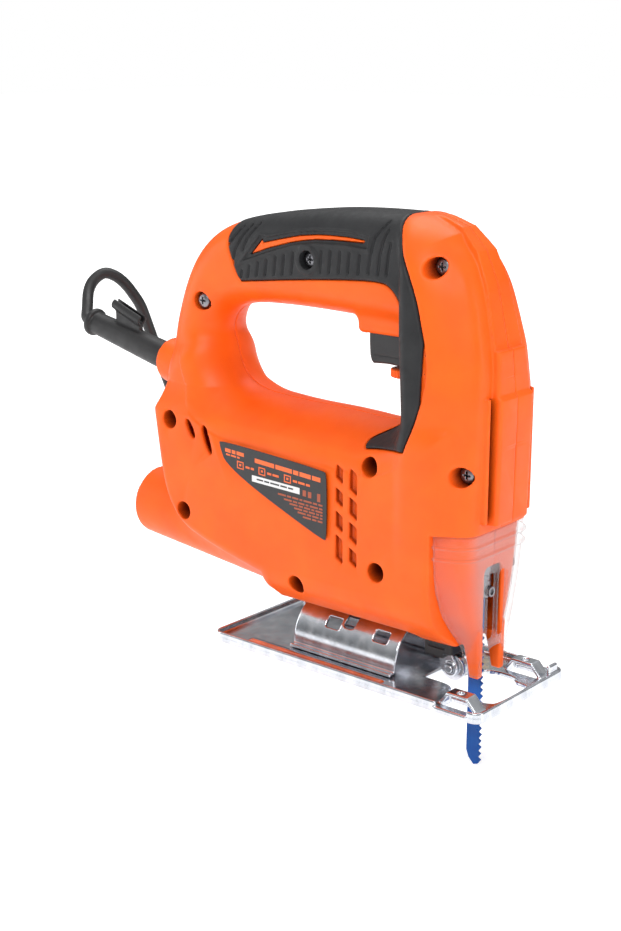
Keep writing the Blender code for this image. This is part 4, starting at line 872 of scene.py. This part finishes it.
def hank_point(state, share):
    """A point on one turn: (inner or outer, layer) and its share of the way round."""
    radius = HANK_RADII[0] + (HANK_RADII[1] - HANK_RADII[0]) * state[0]
    z = LAYER_Z[0] + (LAYER_Z[1] - LAYER_Z[0]) * state[1]
    low, high = HANK_ENDS
    y = HANK_CENTRE_Y
    part = share % 1.0 * 4
    if part < 1:
        return Vector((low + (high - low) * part, y - radius, z))
    if part < 2:
        angle = math.pi * (part - 1)
        return Vector((high + radius * math.sin(angle), y - radius * math.cos(angle), z))
    if part < 3:
        return Vector((high + (low - high) * (part - 2), y + radius, z))
    angle = math.pi * (part - 3)
    return Vector((low - radius * math.sin(angle), y + radius * math.cos(angle), z))


def hank_points():
    """Seven turns in four layers; each move between turns has its own stretch of the way."""
    points = []
    moves = len(HANK_STATES) - 1
    for turn in range(moves):
        a = Vector(HANK_STATES[turn])
        b = Vector(HANK_STATES[turn + 1])
        for step in range(56):
            share = step / 56
            moved = min(max(share * moves - (moves - 1 - turn), 0.0), 1.0)
            moved = moved * moved * (3 - 2 * moved)
            points.append(hank_point(tuple(a.lerp(b, moved)), share))
    return points


def curve_through(points, per_span):
    """Catmull-Rom points through the given ones."""
    work = [Vector(p) for p in points]
    result = []
    for i in range(len(work) - 1):
        p0, p1, p2 = work[max(i - 1, 0)], work[i], work[i + 1]
        p3 = work[min(i + 2, len(work) - 1)]
        for step in range(per_span):
            t = step / per_span
            result.append(0.5 * (2 * p1 + (p2 - p0) * t + (2 * p0 - 5 * p1 + 4 * p2 - p3) * t ** 2
                                 + (3 * p1 - p0 - 3 * p2 + p3) * t ** 3))
    return result + [work[-1]]


def wire(name, points, radius, mat):
    curve = bpy.data.curves.new(name, "CURVE")
    curve.dimensions = "3D"
    curve.bevel_depth = radius * MM
    curve.bevel_resolution = 6
    curve.use_fill_caps = True
    spline = curve.splines.new("POLY")
    spline.points.add(len(points) - 1)
    for spot, point in zip(spline.points, points):
        spot.co = (*(Vector(point) * MM), 1.0)
    spline.use_smooth = True
    curve.materials.append(mat)
    return add_object(name, curve)


def rounded_corners(corners, radius):
    """Take the corners off the outline of a turned piece."""
    result = [Vector(corners[0])]
    for before, corner, after in zip(corners, corners[1:], corners[2:]):
        before, corner, after = Vector(before), Vector(corner), Vector(after)
        if corner.y == 0:
            result.append(corner)
            continue
        reach = min(radius, (before - corner).length * 0.45, (after - corner).length * 0.45)
        start = corner + (before - corner).normalized() * reach
        end = corner + (after - corner).normalized() * reach
        for step in range(5):
            t = step / 4
            result.append(start * (1 - t) ** 2 + corner * 2 * t * (1 - t) + end * t ** 2)
    return result + [Vector(corners[-1])]


def turned(name, corners, origin, axis, mat, radius=0.3, sides=64):
    """A body of revolution from (distance along the axis, radius) pairs."""
    turn = Vector((0, 0, 1)).rotation_difference(Vector(axis)).to_matrix()
    rows = rounded_corners(corners, radius)
    points, faces, rings = [], [], []
    for along, away in rows:
        if away < 1e-6:
            rings.append([len(points)] * sides)
            points.append((0, 0, along))
        else:
            rings.append(list(range(len(points), len(points) + sides)))
            points += [(away * math.cos(2 * math.pi * k / sides),
                        away * math.sin(2 * math.pi * k / sides), along) for k in range(sides)]
    pairs = list(zip(rings, rings[1:]))
    if corners[0][1] > 0:
        pairs.append((rings[-1], rings[0]))
    for low, high in pairs:
        for k in range(sides):
            ring = [low[k], low[(k + 1) % sides], high[(k + 1) % sides], high[k]]
            face = [p for i, p in enumerate(ring) if p not in ring[:i]]
            if len(face) > 2:
                faces.append(face)
    mesh = bpy.data.meshes.new(name)
    mesh.from_pydata([(turn @ Vector(p) + Vector(origin)) * MM for p in points], [], faces)
    bm = bmesh.new()
    bm.from_mesh(mesh)
    bmesh.ops.recalc_face_normals(bm, faces=bm.faces)
    bm.to_mesh(mesh)
    bm.free()
    mesh.materials.append(mat)
    mesh.shade_smooth()
    mesh.set_sharp_from_angle(angle=math.radians(50))
    return add_object(name, mesh)


cord_points = curve_through(CORD_ROUTE, 5)[:-1] + hank_points()
run_end = [(-118, 59.9, 20.5), (-98, 59.9, 20.5), (-80, 59.9, 20.5), (-66, 59.9, 20.4),
           (-57, 60.0, 19.0), (-51, 60.5, 15.4), (-45.8, PLUG_Y, PLUG_Z + 0.1),
           (-42, PLUG_Y, PLUG_Z)]
cord_points += curve_through(run_end, 6)
cord = wire("power_cord_run", cord_points, CORD_DIAMETER / 2, FINISH["cord_rubber"])
put(cord, "housing_body", "cord_rubber", "power_cord", "cord_hank")

plug_profile = [(0, 0), (0, 3.5)]
for index in range(5):
    along = 1.6 + index * 2.5
    plug_profile += [(along, 3.6 + index * 0.28), (along, 3.0), (along + 0.9, 3.0),
                     (along + 0.9, 3.8 + index * 0.28)]
plug_profile += [(14.7, 5.0), (14.9, 8.3), (18.5, 12.3), (24, 12.9), (24.3, 12.4), (25.1, 12.4),
                 (25.4, 12.9), (38, 12.9), (38.3, 12.3), (42.7, 11.4), (42.7, 0)]
plug = turned("plug_moulding", plug_profile, (-45.7, PLUG_Y, PLUG_Z), (1, 0, 0),
              FINISH["cord_rubber"], 0.5)
put(plug, "housing_body", "cord_rubber", "plug_body")
for index, z in ((1, PLUG_Z - 9.5), (2, PLUG_Z + 9.5)):
    pin = turned("plug_contact_%d" % index, [(0, 0), (0, 2.4), (18, 2.4), (19, 1.4), (19, 0)],
                 (-2.7, PLUG_Y, z), (1, 0, 0), FINISH["brass"], 0.6, 32)
    put(pin, "housing_body", "brass", "plug_pin_%d" % index)


def tie_field(x, y, z, low_y, high_y):
    band = box_field(x, y, z, (-95, low_y - 0.7, -0.0), (-90, high_y + 0.7, 24.2), 1.6)
    inside = box_field(x, y, z, (-99, low_y, 0.25), (-86, high_y, 23.5), 1.4)
    knot = box_field(x, y, z, (-96, (low_y + high_y) / 2 - 2, 22.5), (-89, (low_y + high_y) / 2 + 2,
                                                                     24.4), 0.6)
    return either(without(band, inside), knot, 0.4)


for index, low_y in ((1, 56.9), (2, 85.3)):
    tie = field_object("cord_tie_%d" % index,
                       lambda x, y, z: tie_field(x, y, z, low_y, low_y + 11.8),
                       (-97, low_y - 1.5, -0.6), (-88, low_y + 13.4, 25), 0.3,
                       FINISH["black_plastic"])
    put(tie, "housing_body", "black_plastic")


# ---------------------------------------------------------------- housing and grips
for side, word in ((-1, "right"), (1, "left")):
    piece("shell_" + word, lambda x, y, z: housing_field(x, y, z, side), (-147, -1.5, 7),
          (69, 32.5, 203), VOXEL, "housing_body", "orange_shell", "housing_" + word, 190000, side < 0)
    piece("overmould_" + word, lambda x, y, z: grip_field(x, y, z, side), (-80, -1.5, 100),
          (38, 33, 204), VOXEL * 0.8, "housing_body", "soft_grip", "grip_" + word, 120000, side < 0)


# ---------------------------------------------------------------- clear guard
def guard_field(x, y, z):
    y = np.abs(y)
    flat = Outlines(x, z)
    tower = tower_field(x, y, z)
    field = both(tower + 0.2, -(tower + 2.0), 0.3)
    for height in (64.0, 69.2):
        rib = both(both(tower - 1.0, -(tower + 1.9)), np.abs(z - height) - 0.6, 0.3)
        field = either(field, rib, 0.5)
    lip = both(both(tower - 0.35, -(tower + 2.0)), np.abs(z - 12.0) - 2.5, 0.6)
    field = either(field, lip, 0.6)
    field = both(field, z - 73.9, 0.4)
    field = both(field, 9.5 - z, 0.4)
    field = both(field, flat.guard + 0.3, 0.4)
    cuts = box_field(x, y, z, (40, 0.9, 25), (80, 7.0, 55), 2.4)
    cuts = np.minimum(cuts, box_field(x, y, z, (30, -20, -20), (80, 9.6, 21.5), 8.0))
    return without(field, cuts, 0.5)


piece("finger_guard", guard_field, (43, -31, 8), (65, 31, 75), 0.4,
      "housing_body", "clear_plastic", "clear_guard", 150000)

# ---------------------------------------------------------------- sole and bevel segment
SOLE_HALF = (75.0, 33.5)
FORK_OUTLINE = [
    (30, -9), (45, -9), (47, -16), (61.5, -16), (66.8, -15.5), (70.2, -12.8), (70.2, 10),
    (68.5, 11.5), (61.5, 11.8), (61.5, 16), (47, 16), (45, 9), (30, 9),
]
BRIDGE_OUTLINE = [
    (49.4, 0.4), (54.6, 7.5), (65, 7.5), (71.6, 0.4), (69.4, 0.4), (64.2, 5.9), (55.4, 5.9),
    (51.5, 0.4),
]


def shoe_field(x, y, z):
    side = np.abs(y)
    ex = np.abs(x) - (SOLE_HALF[0] - 5)
    ey = side - (SOLE_HALF[1] - 5)
    edge = np.sqrt(np.maximum(ex, 0) ** 2 + np.maximum(ey, 0) ** 2)
    edge = edge + np.minimum(np.maximum(ex, ey), 0) - 5
    plate = both(edge, np.abs(z - 1.0) - 1.0, 1.2)
    rim = both(both(edge, -(edge + 1.6)), np.abs(z - 2.3) - 2.3, 0.9)
    notch = box_field(x, side, z, (52.6, SOLE_HALF[1] - 3, 2.0), (68.4, SOLE_HALF[1] + 3, 9), 0.8)
    field = either(plate, without(rim, notch, 0.8), 1.2)
    ridge = box_field(x, side, z, (-58, 24.0, 0.6), (20, 27.2, 2.75), 1.3)
    field = either(field, ridge, 0.9)
    fork = smooth_loop(FORK_OUTLINE, {0, 12}, 2)
    fork = polygon_distance(fork, x[:, :, 0], y[:, :, 0])[:, :, None]
    field = without(field, fork, 0.7)
    access = np.sqrt(np.maximum(np.abs(x - BEVEL_SCREW_X) - 0.05, 0) ** 2 + y ** 2) - 4.95
    field = without(field, access, 0.6)
    field = without(field, box_field(x, side, z, (52.6, 20.6, -5), (68.4, 28.4, 5), 0.5), 0.4)
    bridge = both(profile(BRIDGE_OUTLINE, x, z), np.abs(side - 24.5) - 3.5, 0.8)
    field = either(field, bridge, 0.7)
    hole = from_axis(x, side, (59.8, 24.5)) - 1.6
    field = without(field, np.maximum(hole, 4.5 - z), 0.4)
    return either(field, box_field(x, y, z, (71.5, 22.5, 1), (73.4, 29.5, 8), 0.8), 0.6)


piece("sole_plate", shoe_field, (-76, -34.5, -1), (76, 34.5, 9), 0.45,
      "sole_body", "zinc_steel", "shoe", 150000)


def segment_field(x, y, z):
    side = np.abs(y)
    up = z - BEVEL_AXIS_Z
    away = np.sqrt(y ** 2 + up ** 2)
    ring = np.maximum(np.abs(away - (SEGMENT_RADIUS - 0.8)) - 0.8, 2.35 - z)
    foot = box_field(x, side, z, (-60, 16.9, 2.3), (60, 21.5, 3.9), 0.5)
    field = both(either(ring, foot, 1.0), np.abs(x + 9) - 29, 0.8)
    angle = np.degrees(np.arctan2(side, up)) + 0 * x
    arc = SEGMENT_RADIUS * math.pi / 180
    slot = both(np.abs(x - BEVEL_SCREW_X) - 3.0, (angle - 53) * arc, 2.4)
    field = without(field, slot, 0.4)
    for centre in (-17.5, 9.5):
        notch = both(np.abs(x - centre) - 4.0, np.abs(angle - 50.5) * arc - 8.5 * arc, 1.2)
        field = without(field, notch, 0.4)
    return field


piece("tilt_segment", segment_field, (-39, -22.5, 1.5), (21, 22.5, 24.5), 0.35,
      "sole_body", "zinc_steel", "bevel_segment", 110000)


# ---------------------------------------------------------------- blade support
def arm_field(x, y, z):
    outline = [
        (28.5, 36), (37, 37), (38, 24), (40, 14), (44, 8.5), (43, 4.5), (39.5, 3.4), (37, 6),
        (33.5, 13), (28.5, 22),
    ]
    flat = profile(smooth_loop(outline, (), 2), x, z)
    field = both(flat - 0.35, np.abs(np.abs(y) - 4.6) - 0.7, 0.35)
    field = either(field, box_field(x, y, z, (29.2, -4.4, 29.0), (36.6, 4.4, 35.6), 0.8), 0.6)
    pivot = from_axis(x, z, ARM_PIVOT)
    axle = from_axis(x, z, ROLLER_AXIS)
    field = either(field, np.maximum(axle - 3.3, np.abs(np.abs(y) - 4.8) - 0.9), 0.4)
    return without(field, np.minimum(pivot - 2.3, axle - 2.1), 0.3)


piece("pendulum_arm", arm_field, (27, -6.5, 2.2), (45, 6.5, 38.5), 0.26,
      "arm_body", "zinc_steel", "roller_arm", 60000)
roller_place = (ROLLER_AXIS[0], 0, ROLLER_AXIS[1])
roller = turned("backing_roller", [(-3.5, 2.1), (-3.5, 6.0), (-1.9, 6.0), (-1.2, 4.9), (1.2, 4.9),
                                   (1.9, 6.0), (3.5, 6.0), (3.5, 4.3), (3.0, 4.1), (3.0, 3.0),
                                   (3.5, 2.8), (3.5, 2.1)],
                roller_place, (0, 1, 0), FINISH["zinc_steel"], 0.25)
put(roller, "roller_body", "zinc_steel", "guide_roller")
pin = turned("backing_roller_pin", [(-6.6, 0), (-6.6, 1.8), (6.6, 1.8), (6.6, 0)],
             roller_place, (0, 1, 0), FINISH["zinc_steel"], 0.5, 40)
put(pin, "arm_body", "zinc_steel", "roller_pin")


def fork_guide_field(x, y, z):
    field = box_field(x, y, z, (30, -10.5, 13), (44.5, 10.5, 22.9), 0.9)
    field = without(field, box_field(x, y, z, (20, -6.2, 10), (42, 6.2, 30), 0.5), 0.4)
    field = without(field, box_field(x, y, z, (40, -20, 5), (50, 20, 15.5), 0.8), 0.4)
    groove = box_field(x, np.abs(y), z, (32, 9.9, 17.4), (41, 12, 18.4), 0.2)
    return without(field, groove, 0.3)


piece("blade_fork_block", fork_guide_field, (29, -11.5, 12), (45.5, 11.5, 24), 0.3,
      "housing_body", "black_plastic", "fork_guide")


# ---------------------------------------------------------------- controls
def trigger_field(x, y, z):
    outline = [
        (-5, 136.4), (1, 137.0), (7, 137.3), (13, 136.6), (18.2, 135.5), (18.2, 158), (-5, 158),
    ]
    field = thick(profile(smooth_loop(outline, {5, 6}, 2), x, z), y, 7.0, 1.3)
    line = box_field(x, np.abs(y), z, (-1.8, 6.75, 140.5), (15.2, 9, 141.0), 0.1)
    away = from_axis(x, y, (TRIGGER_X, 0))
    spring_seat = np.maximum(np.abs(away - 3.1) - 0.8, 152.8 - z)
    return without(without(field, line, 0.2), spring_seat)


piece("trigger_paddle", trigger_field, (-6, -8, 134.5), (19.2, 8, 159), 0.35,
      "trigger_body", "black_plastic", "trigger")


def dial_field(x, y, z):
    angle = np.arctan2(y, x - DIAL_X) + 0 * z
    away = from_axis(x, y, (DIAL_X, 0)) + 0 * z
    flutes = both(away - 7.15 - 0.25 * np.cos(24 * angle), np.abs(z - 133.5) - 1.7, 0.5)
    dish = np.maximum(away - 5.0, z - 132.25)
    grip = box_field(x, y, z, (6.5, -0.7, 131.8), (15.5, 0.7, 133.2), 0.3)
    return either(without(flutes, dish, 0.3), grip, 0.3)


piece("speed_wheel", dial_field, (2.8, -8.2, 131), (19.2, 8.2, 136), 0.2,
      "dial_body", "orange_shell", "speed_dial")
button = turned("lock_stud", [(0, 0), (0, 4.2), (6.8, 4.2), (7.8, 3.3), (7.5, 1.6), (7.2, 0)],
                (TRIGGER_X, 12.2, LOCK_Z), (0, 1, 0), FINISH["black_plastic"], 0.5)
put(button, "lock_body", "black_plastic", "lock_button")


def lever_field(x, y, z):
    away = from_axis(x, z, LEVER_AXIS) + 0 * y
    disc = both(away - 10.0, np.abs(y - 33.2) - 1.8, 1.4)
    stem = np.maximum(away - 4.0, np.abs(y - 26) - 6.0)
    width = 3.0 - 0.7 * np.clip((x - 21) / 22, 0, 1)
    handle = both(np.abs(z - LEVER_AXIS[1]) - width, np.abs(x - LEVER_AXIS[0]) - 11, 2.2)
    handle = both(handle, np.abs(y - 37) - 3.0, 1.0)
    field = either(either(disc, stem), handle, 1.0)
    grooves = np.abs((x - 25) % 1.6 - 0.8) - 0.3
    grooves = np.maximum(np.maximum(grooves, np.abs(x - 25.8) - 3.2), 39.5 - y)
    return without(field, grooves, 0.2)


piece("orbit_lever", lever_field, (20, 19.5, 34), (44, 41, 56), 0.3,
      "lever_body", "black_plastic", "pendulum_lever")


# ---------------------------------------------------------------- cord sleeve
def sleeve_field(x, y, z):
    start = np.array((-112, 0, cord_axis(-112)))
    end = np.array((-187.7, 0, cord_axis(-187.7)))
    length = np.linalg.norm(end - start)
    axis = (end - start) / length
    along = (x - start[0]) * axis[0] + (z - start[2]) * axis[2] + 0 * y
    away = np.sqrt(np.maximum((x - start[0]) ** 2 + y ** 2 + (z - start[2]) ** 2 - along ** 2, 0))
    wall = 6.7 - 1.1 * np.clip((along - 30) / (length - 33.5), 0, 1)
    field = both(away - wall, np.abs(along - length / 2) - length / 2, 0.8)
    field = either(field, both(away - 7.75, np.abs(along - 16.35) - 1.85, 1.0), 0.7)
    field = either(field, both(away - 7.0, np.abs(along - length + 1.75) - 1.75, 1.6), 0.9)
    web = [(-169.5, 131), (-152.5, 127), (-152.5, 134.4), (-169.5, 140.6)]
    field = either(field, both(profile(web, x, z), np.abs(y) - 1.2, 0.5), 1.2)
    clip = tube_field(x, y, z, (-170.6, 0, 143.8), (-151.9, 0, 136.9), 2.8)
    field = either(field, clip, 1.0)
    field = without(field, tube_field(x, y, z, (-173.4, 0, 144.8), (-149.1, 0, 135.9), 1.6), 0.3)
    mouth = [(-176, 146.5), (-146, 135.4), (-146, 150), (-176, 160)]
    return without(field, np.maximum(profile(mouth, x, z), np.abs(y) - 1.0), 0.4)


piece("bend_relief", sleeve_field, (-191, -8.5, 108), (-105, 8.5, 149), 0.36,
      "housing_body", "cord_rubber", "cord_sleeve")


# ---------------------------------------------------------------- screws
def screw_field(x, y, z, length):
    """A pan head with a cross recess, pointing along +Y from its top at 0."""
    away = np.sqrt(x ** 2 + z ** 2)
    head = both(both(away - 3.4, y - 3.2), -y, 0.2)
    head = both(head, np.sqrt(x ** 2 + z ** 2 + (y - 6.2) ** 2) - 6.35, 0.4)
    groove = 0.16 * np.cos(2 * math.pi * y / 1.25 + np.arctan2(z, x))
    tip = np.clip((y - length + 2.2) * 0.62, 0, 5)
    shank = np.maximum(np.maximum(away - 1.35 - groove + tip, y - length), 2.5 - y)
    cross = np.maximum(np.minimum(np.abs(x), np.abs(z)) - 0.42 + 0.1 * y,
                       np.maximum(np.abs(x), np.abs(z)) - 1.95 + 0.5 * y)
    return without(either(head, shank, 0.4), np.maximum(cross, y - 2.1), 0.15)


def screw(name, x, z, seat_y, tip_y):
    length = tip_y - seat_y + 3.2
    obj = field_object("bolt_" + name, lambda u, v, w: screw_field(u, v, w, length),
                       (-3.8, -0.4, -3.8), (3.8, length + 0.4, 3.8), 0.2, FINISH["dark_steel"])
    obj.data.transform(Matrix.Translation(Vector((x, seat_y - 3.2, z)) * MM))
    put(obj, "housing_body", "dark_steel", "screw_" + name)


SCREW_NAMES = ["handle_rear", "handle_top", "tower_top", "body_rear_top", "body_rear_low",
               "body_middle", "body_low", "body_bottom"]
for name, (x, z) in zip(SCREW_NAMES, SCREWS):
    screw(name, x, z, -12.3, 8.0)
screw("gearbox_front", *FRONT_SCREW, -16.3, -7.4)


# ---------------------------------------------------------------- blade and its clamp
def clamp_field(x, y, z):
    away = from_axis(x, y, (PLUNGER_X, 0))
    field = both(away - 5.5, np.abs(z - 54) - 12, 0.9)
    field = without(field, box_field(x, y, z, (46.3, -0.9, 30), (54.6, 0.9, 63.8)), 0.2)
    field = without(field, tube_field(x, y, z, (54, 0, CLAMP_SCREW_Z),
                                         (60, 0, CLAMP_SCREW_Z), 1.8), 0.3)
    for height in (50.0, 52.0, 60.0):
        field = without(field, np.maximum(np.abs(z - height) - 0.35, 5.2 - away), 0.2)
    return field


piece("blade_chuck", clamp_field, (44, -6.3, 41), (56.6, 6.3, 67), 0.3,
      "saw_body", "dark_steel", "blade_clamp")


def clamp_screw_field(x, y, z):
    away = np.sqrt(y ** 2 + (z - CLAMP_SCREW_Z) ** 2)
    field = np.maximum(away - 1.5, np.abs(x - 55.5) - 0.6)
    field = either(field, both(away - 2.4, np.abs(x - 56.8) - 0.7, 0.4), 0.2)
    hexagon = np.maximum(np.abs(y), np.abs(y) * 0.5 + np.abs(z - CLAMP_SCREW_Z) * 0.866) - 1.25
    return without(field, np.maximum(hexagon, 56.6 - x), 0.1)


piece("chuck_screw", clamp_screw_field, (54.5, -2.8, 42), (57.8, 2.8, 48), 0.14,
      "saw_body", "dark_steel", "clamp_screw")


def blade_field(x, y, z):
    """Blade with alternately set teeth, bent a little to each side."""
    back, front = 46.6, 54.3
    outline = [(back, 63.4), (back, -30.5), (back + 1.3, -34.0), (back + 4.0, -36.7)]
    height = -36.0
    while height < 22:
        outline.append((front - 1.5, height + 0.1))
        outline.append((front, height + 2.3))
        height += TOOTH_PITCH
    outline += [(front - 1.3, height), (front - 0.6, height + 4), (front - 0.6, 63.4)]
    flat = profile(outline, x, z)
    tooth = np.floor((z + 36) / TOOTH_PITCH)
    bend = np.where(tooth % 2 == 0, 0.1, -0.1) * np.clip((x - 52.4) / 1.6, 0, 1) * (z < 22)
    return both(flat, np.abs(y - bend) - 0.5, 0.15)


piece("jig_blade", blade_field, (46, -0.9, -37.4), (55, 0.9, 64), 0.2,
      "saw_body", "blue_paint", "saw_blade")


# ---------------------------------------------------------------- label
# The materials of the print; overprinting is the label's own black on the white strip
ORANGE, DIM, WHITE, OVERPRINT = range(4)
OVERPRINT_LIFT = 0.03


def bar(x, z, width, height, index, slant=0.0):
    return ([(x, z), (x + width, z + slant * width), (x + width, z + height + slant * width),
             (x, z + height)], index)


def words(x0, x1, z, height, index, slope, lengths):
    """A line of bars of different lengths in place of printed words."""
    line = []
    x = x0
    step = 0
    while x < x1 - 0.5:
        width = min(lengths[step % len(lengths)], x1 - x)
        line.append(bar(x, z + slope * (x - x0), width, height, index, slope))
        x += width + 0.7
        step += 1
    return line


def plates(name, outlines, low_y, high_y, materials):
    """Thin flat shapes lying on the right side, one material each."""
    bm = bmesh.new()
    for outline, index in outlines:
        front = (low_y - OVERPRINT_LIFT * (index == OVERPRINT)) * MM
        ring = [bm.verts.new((x * MM, front, z * MM)) for x, z in outline]
        face = bm.faces.new(ring)
        face.material_index = index
        grown = bmesh.ops.extrude_face_region(bm, geom=[face], use_keep_orig=True)
        moved = [v for v in grown["geom"] if isinstance(v, bmesh.types.BMVert)]
        bmesh.ops.translate(bm, verts=moved, vec=(0, (high_y - low_y) * MM, 0))
        for new in grown["geom"]:
            if isinstance(new, bmesh.types.BMFace):
                new.material_index = index
        for side_face in ring[0].link_faces:
            side_face.material_index = index
    bmesh.ops.recalc_face_normals(bm, faces=bm.faces)
    bmesh.ops.triangulate(bm, faces=[f for f in bm.faces if len(f.verts) > 4])
    for face in bm.faces:
        face.smooth = False
    mesh = bpy.data.meshes.new(name)
    bm.to_mesh(mesh)
    bm.free()
    for mat in materials:
        mesh.materials.append(mat)
    return add_object(name, mesh)


put(plates("rating_label", [(smooth_loop(LABEL_OUTLINE, (), 3), 0)], -31.05, -30.7,
           [FINISH["label"]]), "housing_body", "label", "label_plate")
marks = words(-67.6, -56.0, 91.4, 1.7, ORANGE, -0.058, (3.4, 2.2, 4.4))
marks += words(-67.0, -58.8, 89.9, 0.8, ORANGE, -0.058, (2.2, 3.1, 1.6))
marks += words(-49.6, -11.6, 89.3, 2.0, ORANGE, -0.058, (11.5, 9.6, 3.0, 6.4))
for x, z, end in ((-60.4, 84.9, -50.2), (-47.4, 84.3, -35.0), (-32.4, 83.6, -17.5)):
    marks += [bar(x, z, 4.0, 0.5, ORANGE, -0.05), bar(x, z + 3.0, 4.0, 0.5, ORANGE, -0.05),
              bar(x, z + 0.5, 0.5, 2.5, ORANGE), bar(x + 3.5, z + 0.3, 0.5, 2.6, ORANGE)]
    marks.append(bar(x + 1.4, z + 1.2, 1.2, 1.0, ORANGE))
    marks += words(x + 5.2, end, z + 0.9, 1.0, ORANGE, -0.05, (2.4, 3.6))
marks.append(bar(-51.4, 80.4, 28.0, 2.9, WHITE, -0.03))
marks += words(-48.5, -26, 81.5, 0.7, OVERPRINT, -0.03, (3.8, 2.9, 5.2))
marks += [bar(-21.6, 79.2, 1.9, 2.7, DIM), bar(-18.6, 79.0, 1.9, 2.7, DIM),
          bar(-13.4, 78.2, 1.8, 3.6, DIM)]
for x, z in ((-36.0, 77.2), (-32.5, 75.4), (-29.2, 73.9), (-26.5, 72.4), (-24.5, 70.9),
             (-21.5, 69.3)):
    marks += words(x, -10.4, z, 0.8, DIM, -0.03, (4.6, 2.4, 3.5, 1.6))
put(plates("label_print", marks, -31.10, -31.03, [*PRINTS, FINISH["label"]]), "housing_body", "label")

# ---------------------------------------------------------------- parts kept from the CAD
KEPT = {
    "zinc_steel": ["arm_pivot_pin", "trigger_spring", "bearing_rear", "bearing_front",
                   "armature_shaft", "drive_gear", "gear_pin", "plunger"],
    "dark_steel": ["bevel_clamp_saddle", "bevel_clamp_screw"],
    "black_plastic": ["switch_body", "cord_clamp", "fan"],
    "laminated_steel": ["armature_core", "field_core"],
    "copper": ["commutator", "field_coil_upper", "field_coil_lower"],
    "carbon": ["carbon_brush_1", "carbon_brush_2"],
    "brass": ["brush_holder_1", "brush_holder_2", "lower_bush", "upper_bush"],
    "aluminium": ["gear_bracket"],
}
for slot, names in KEPT.items():
    for name in names:
        for material_slot in NODES[name].material_slots:
            material_slot.material = FINISH[slot]
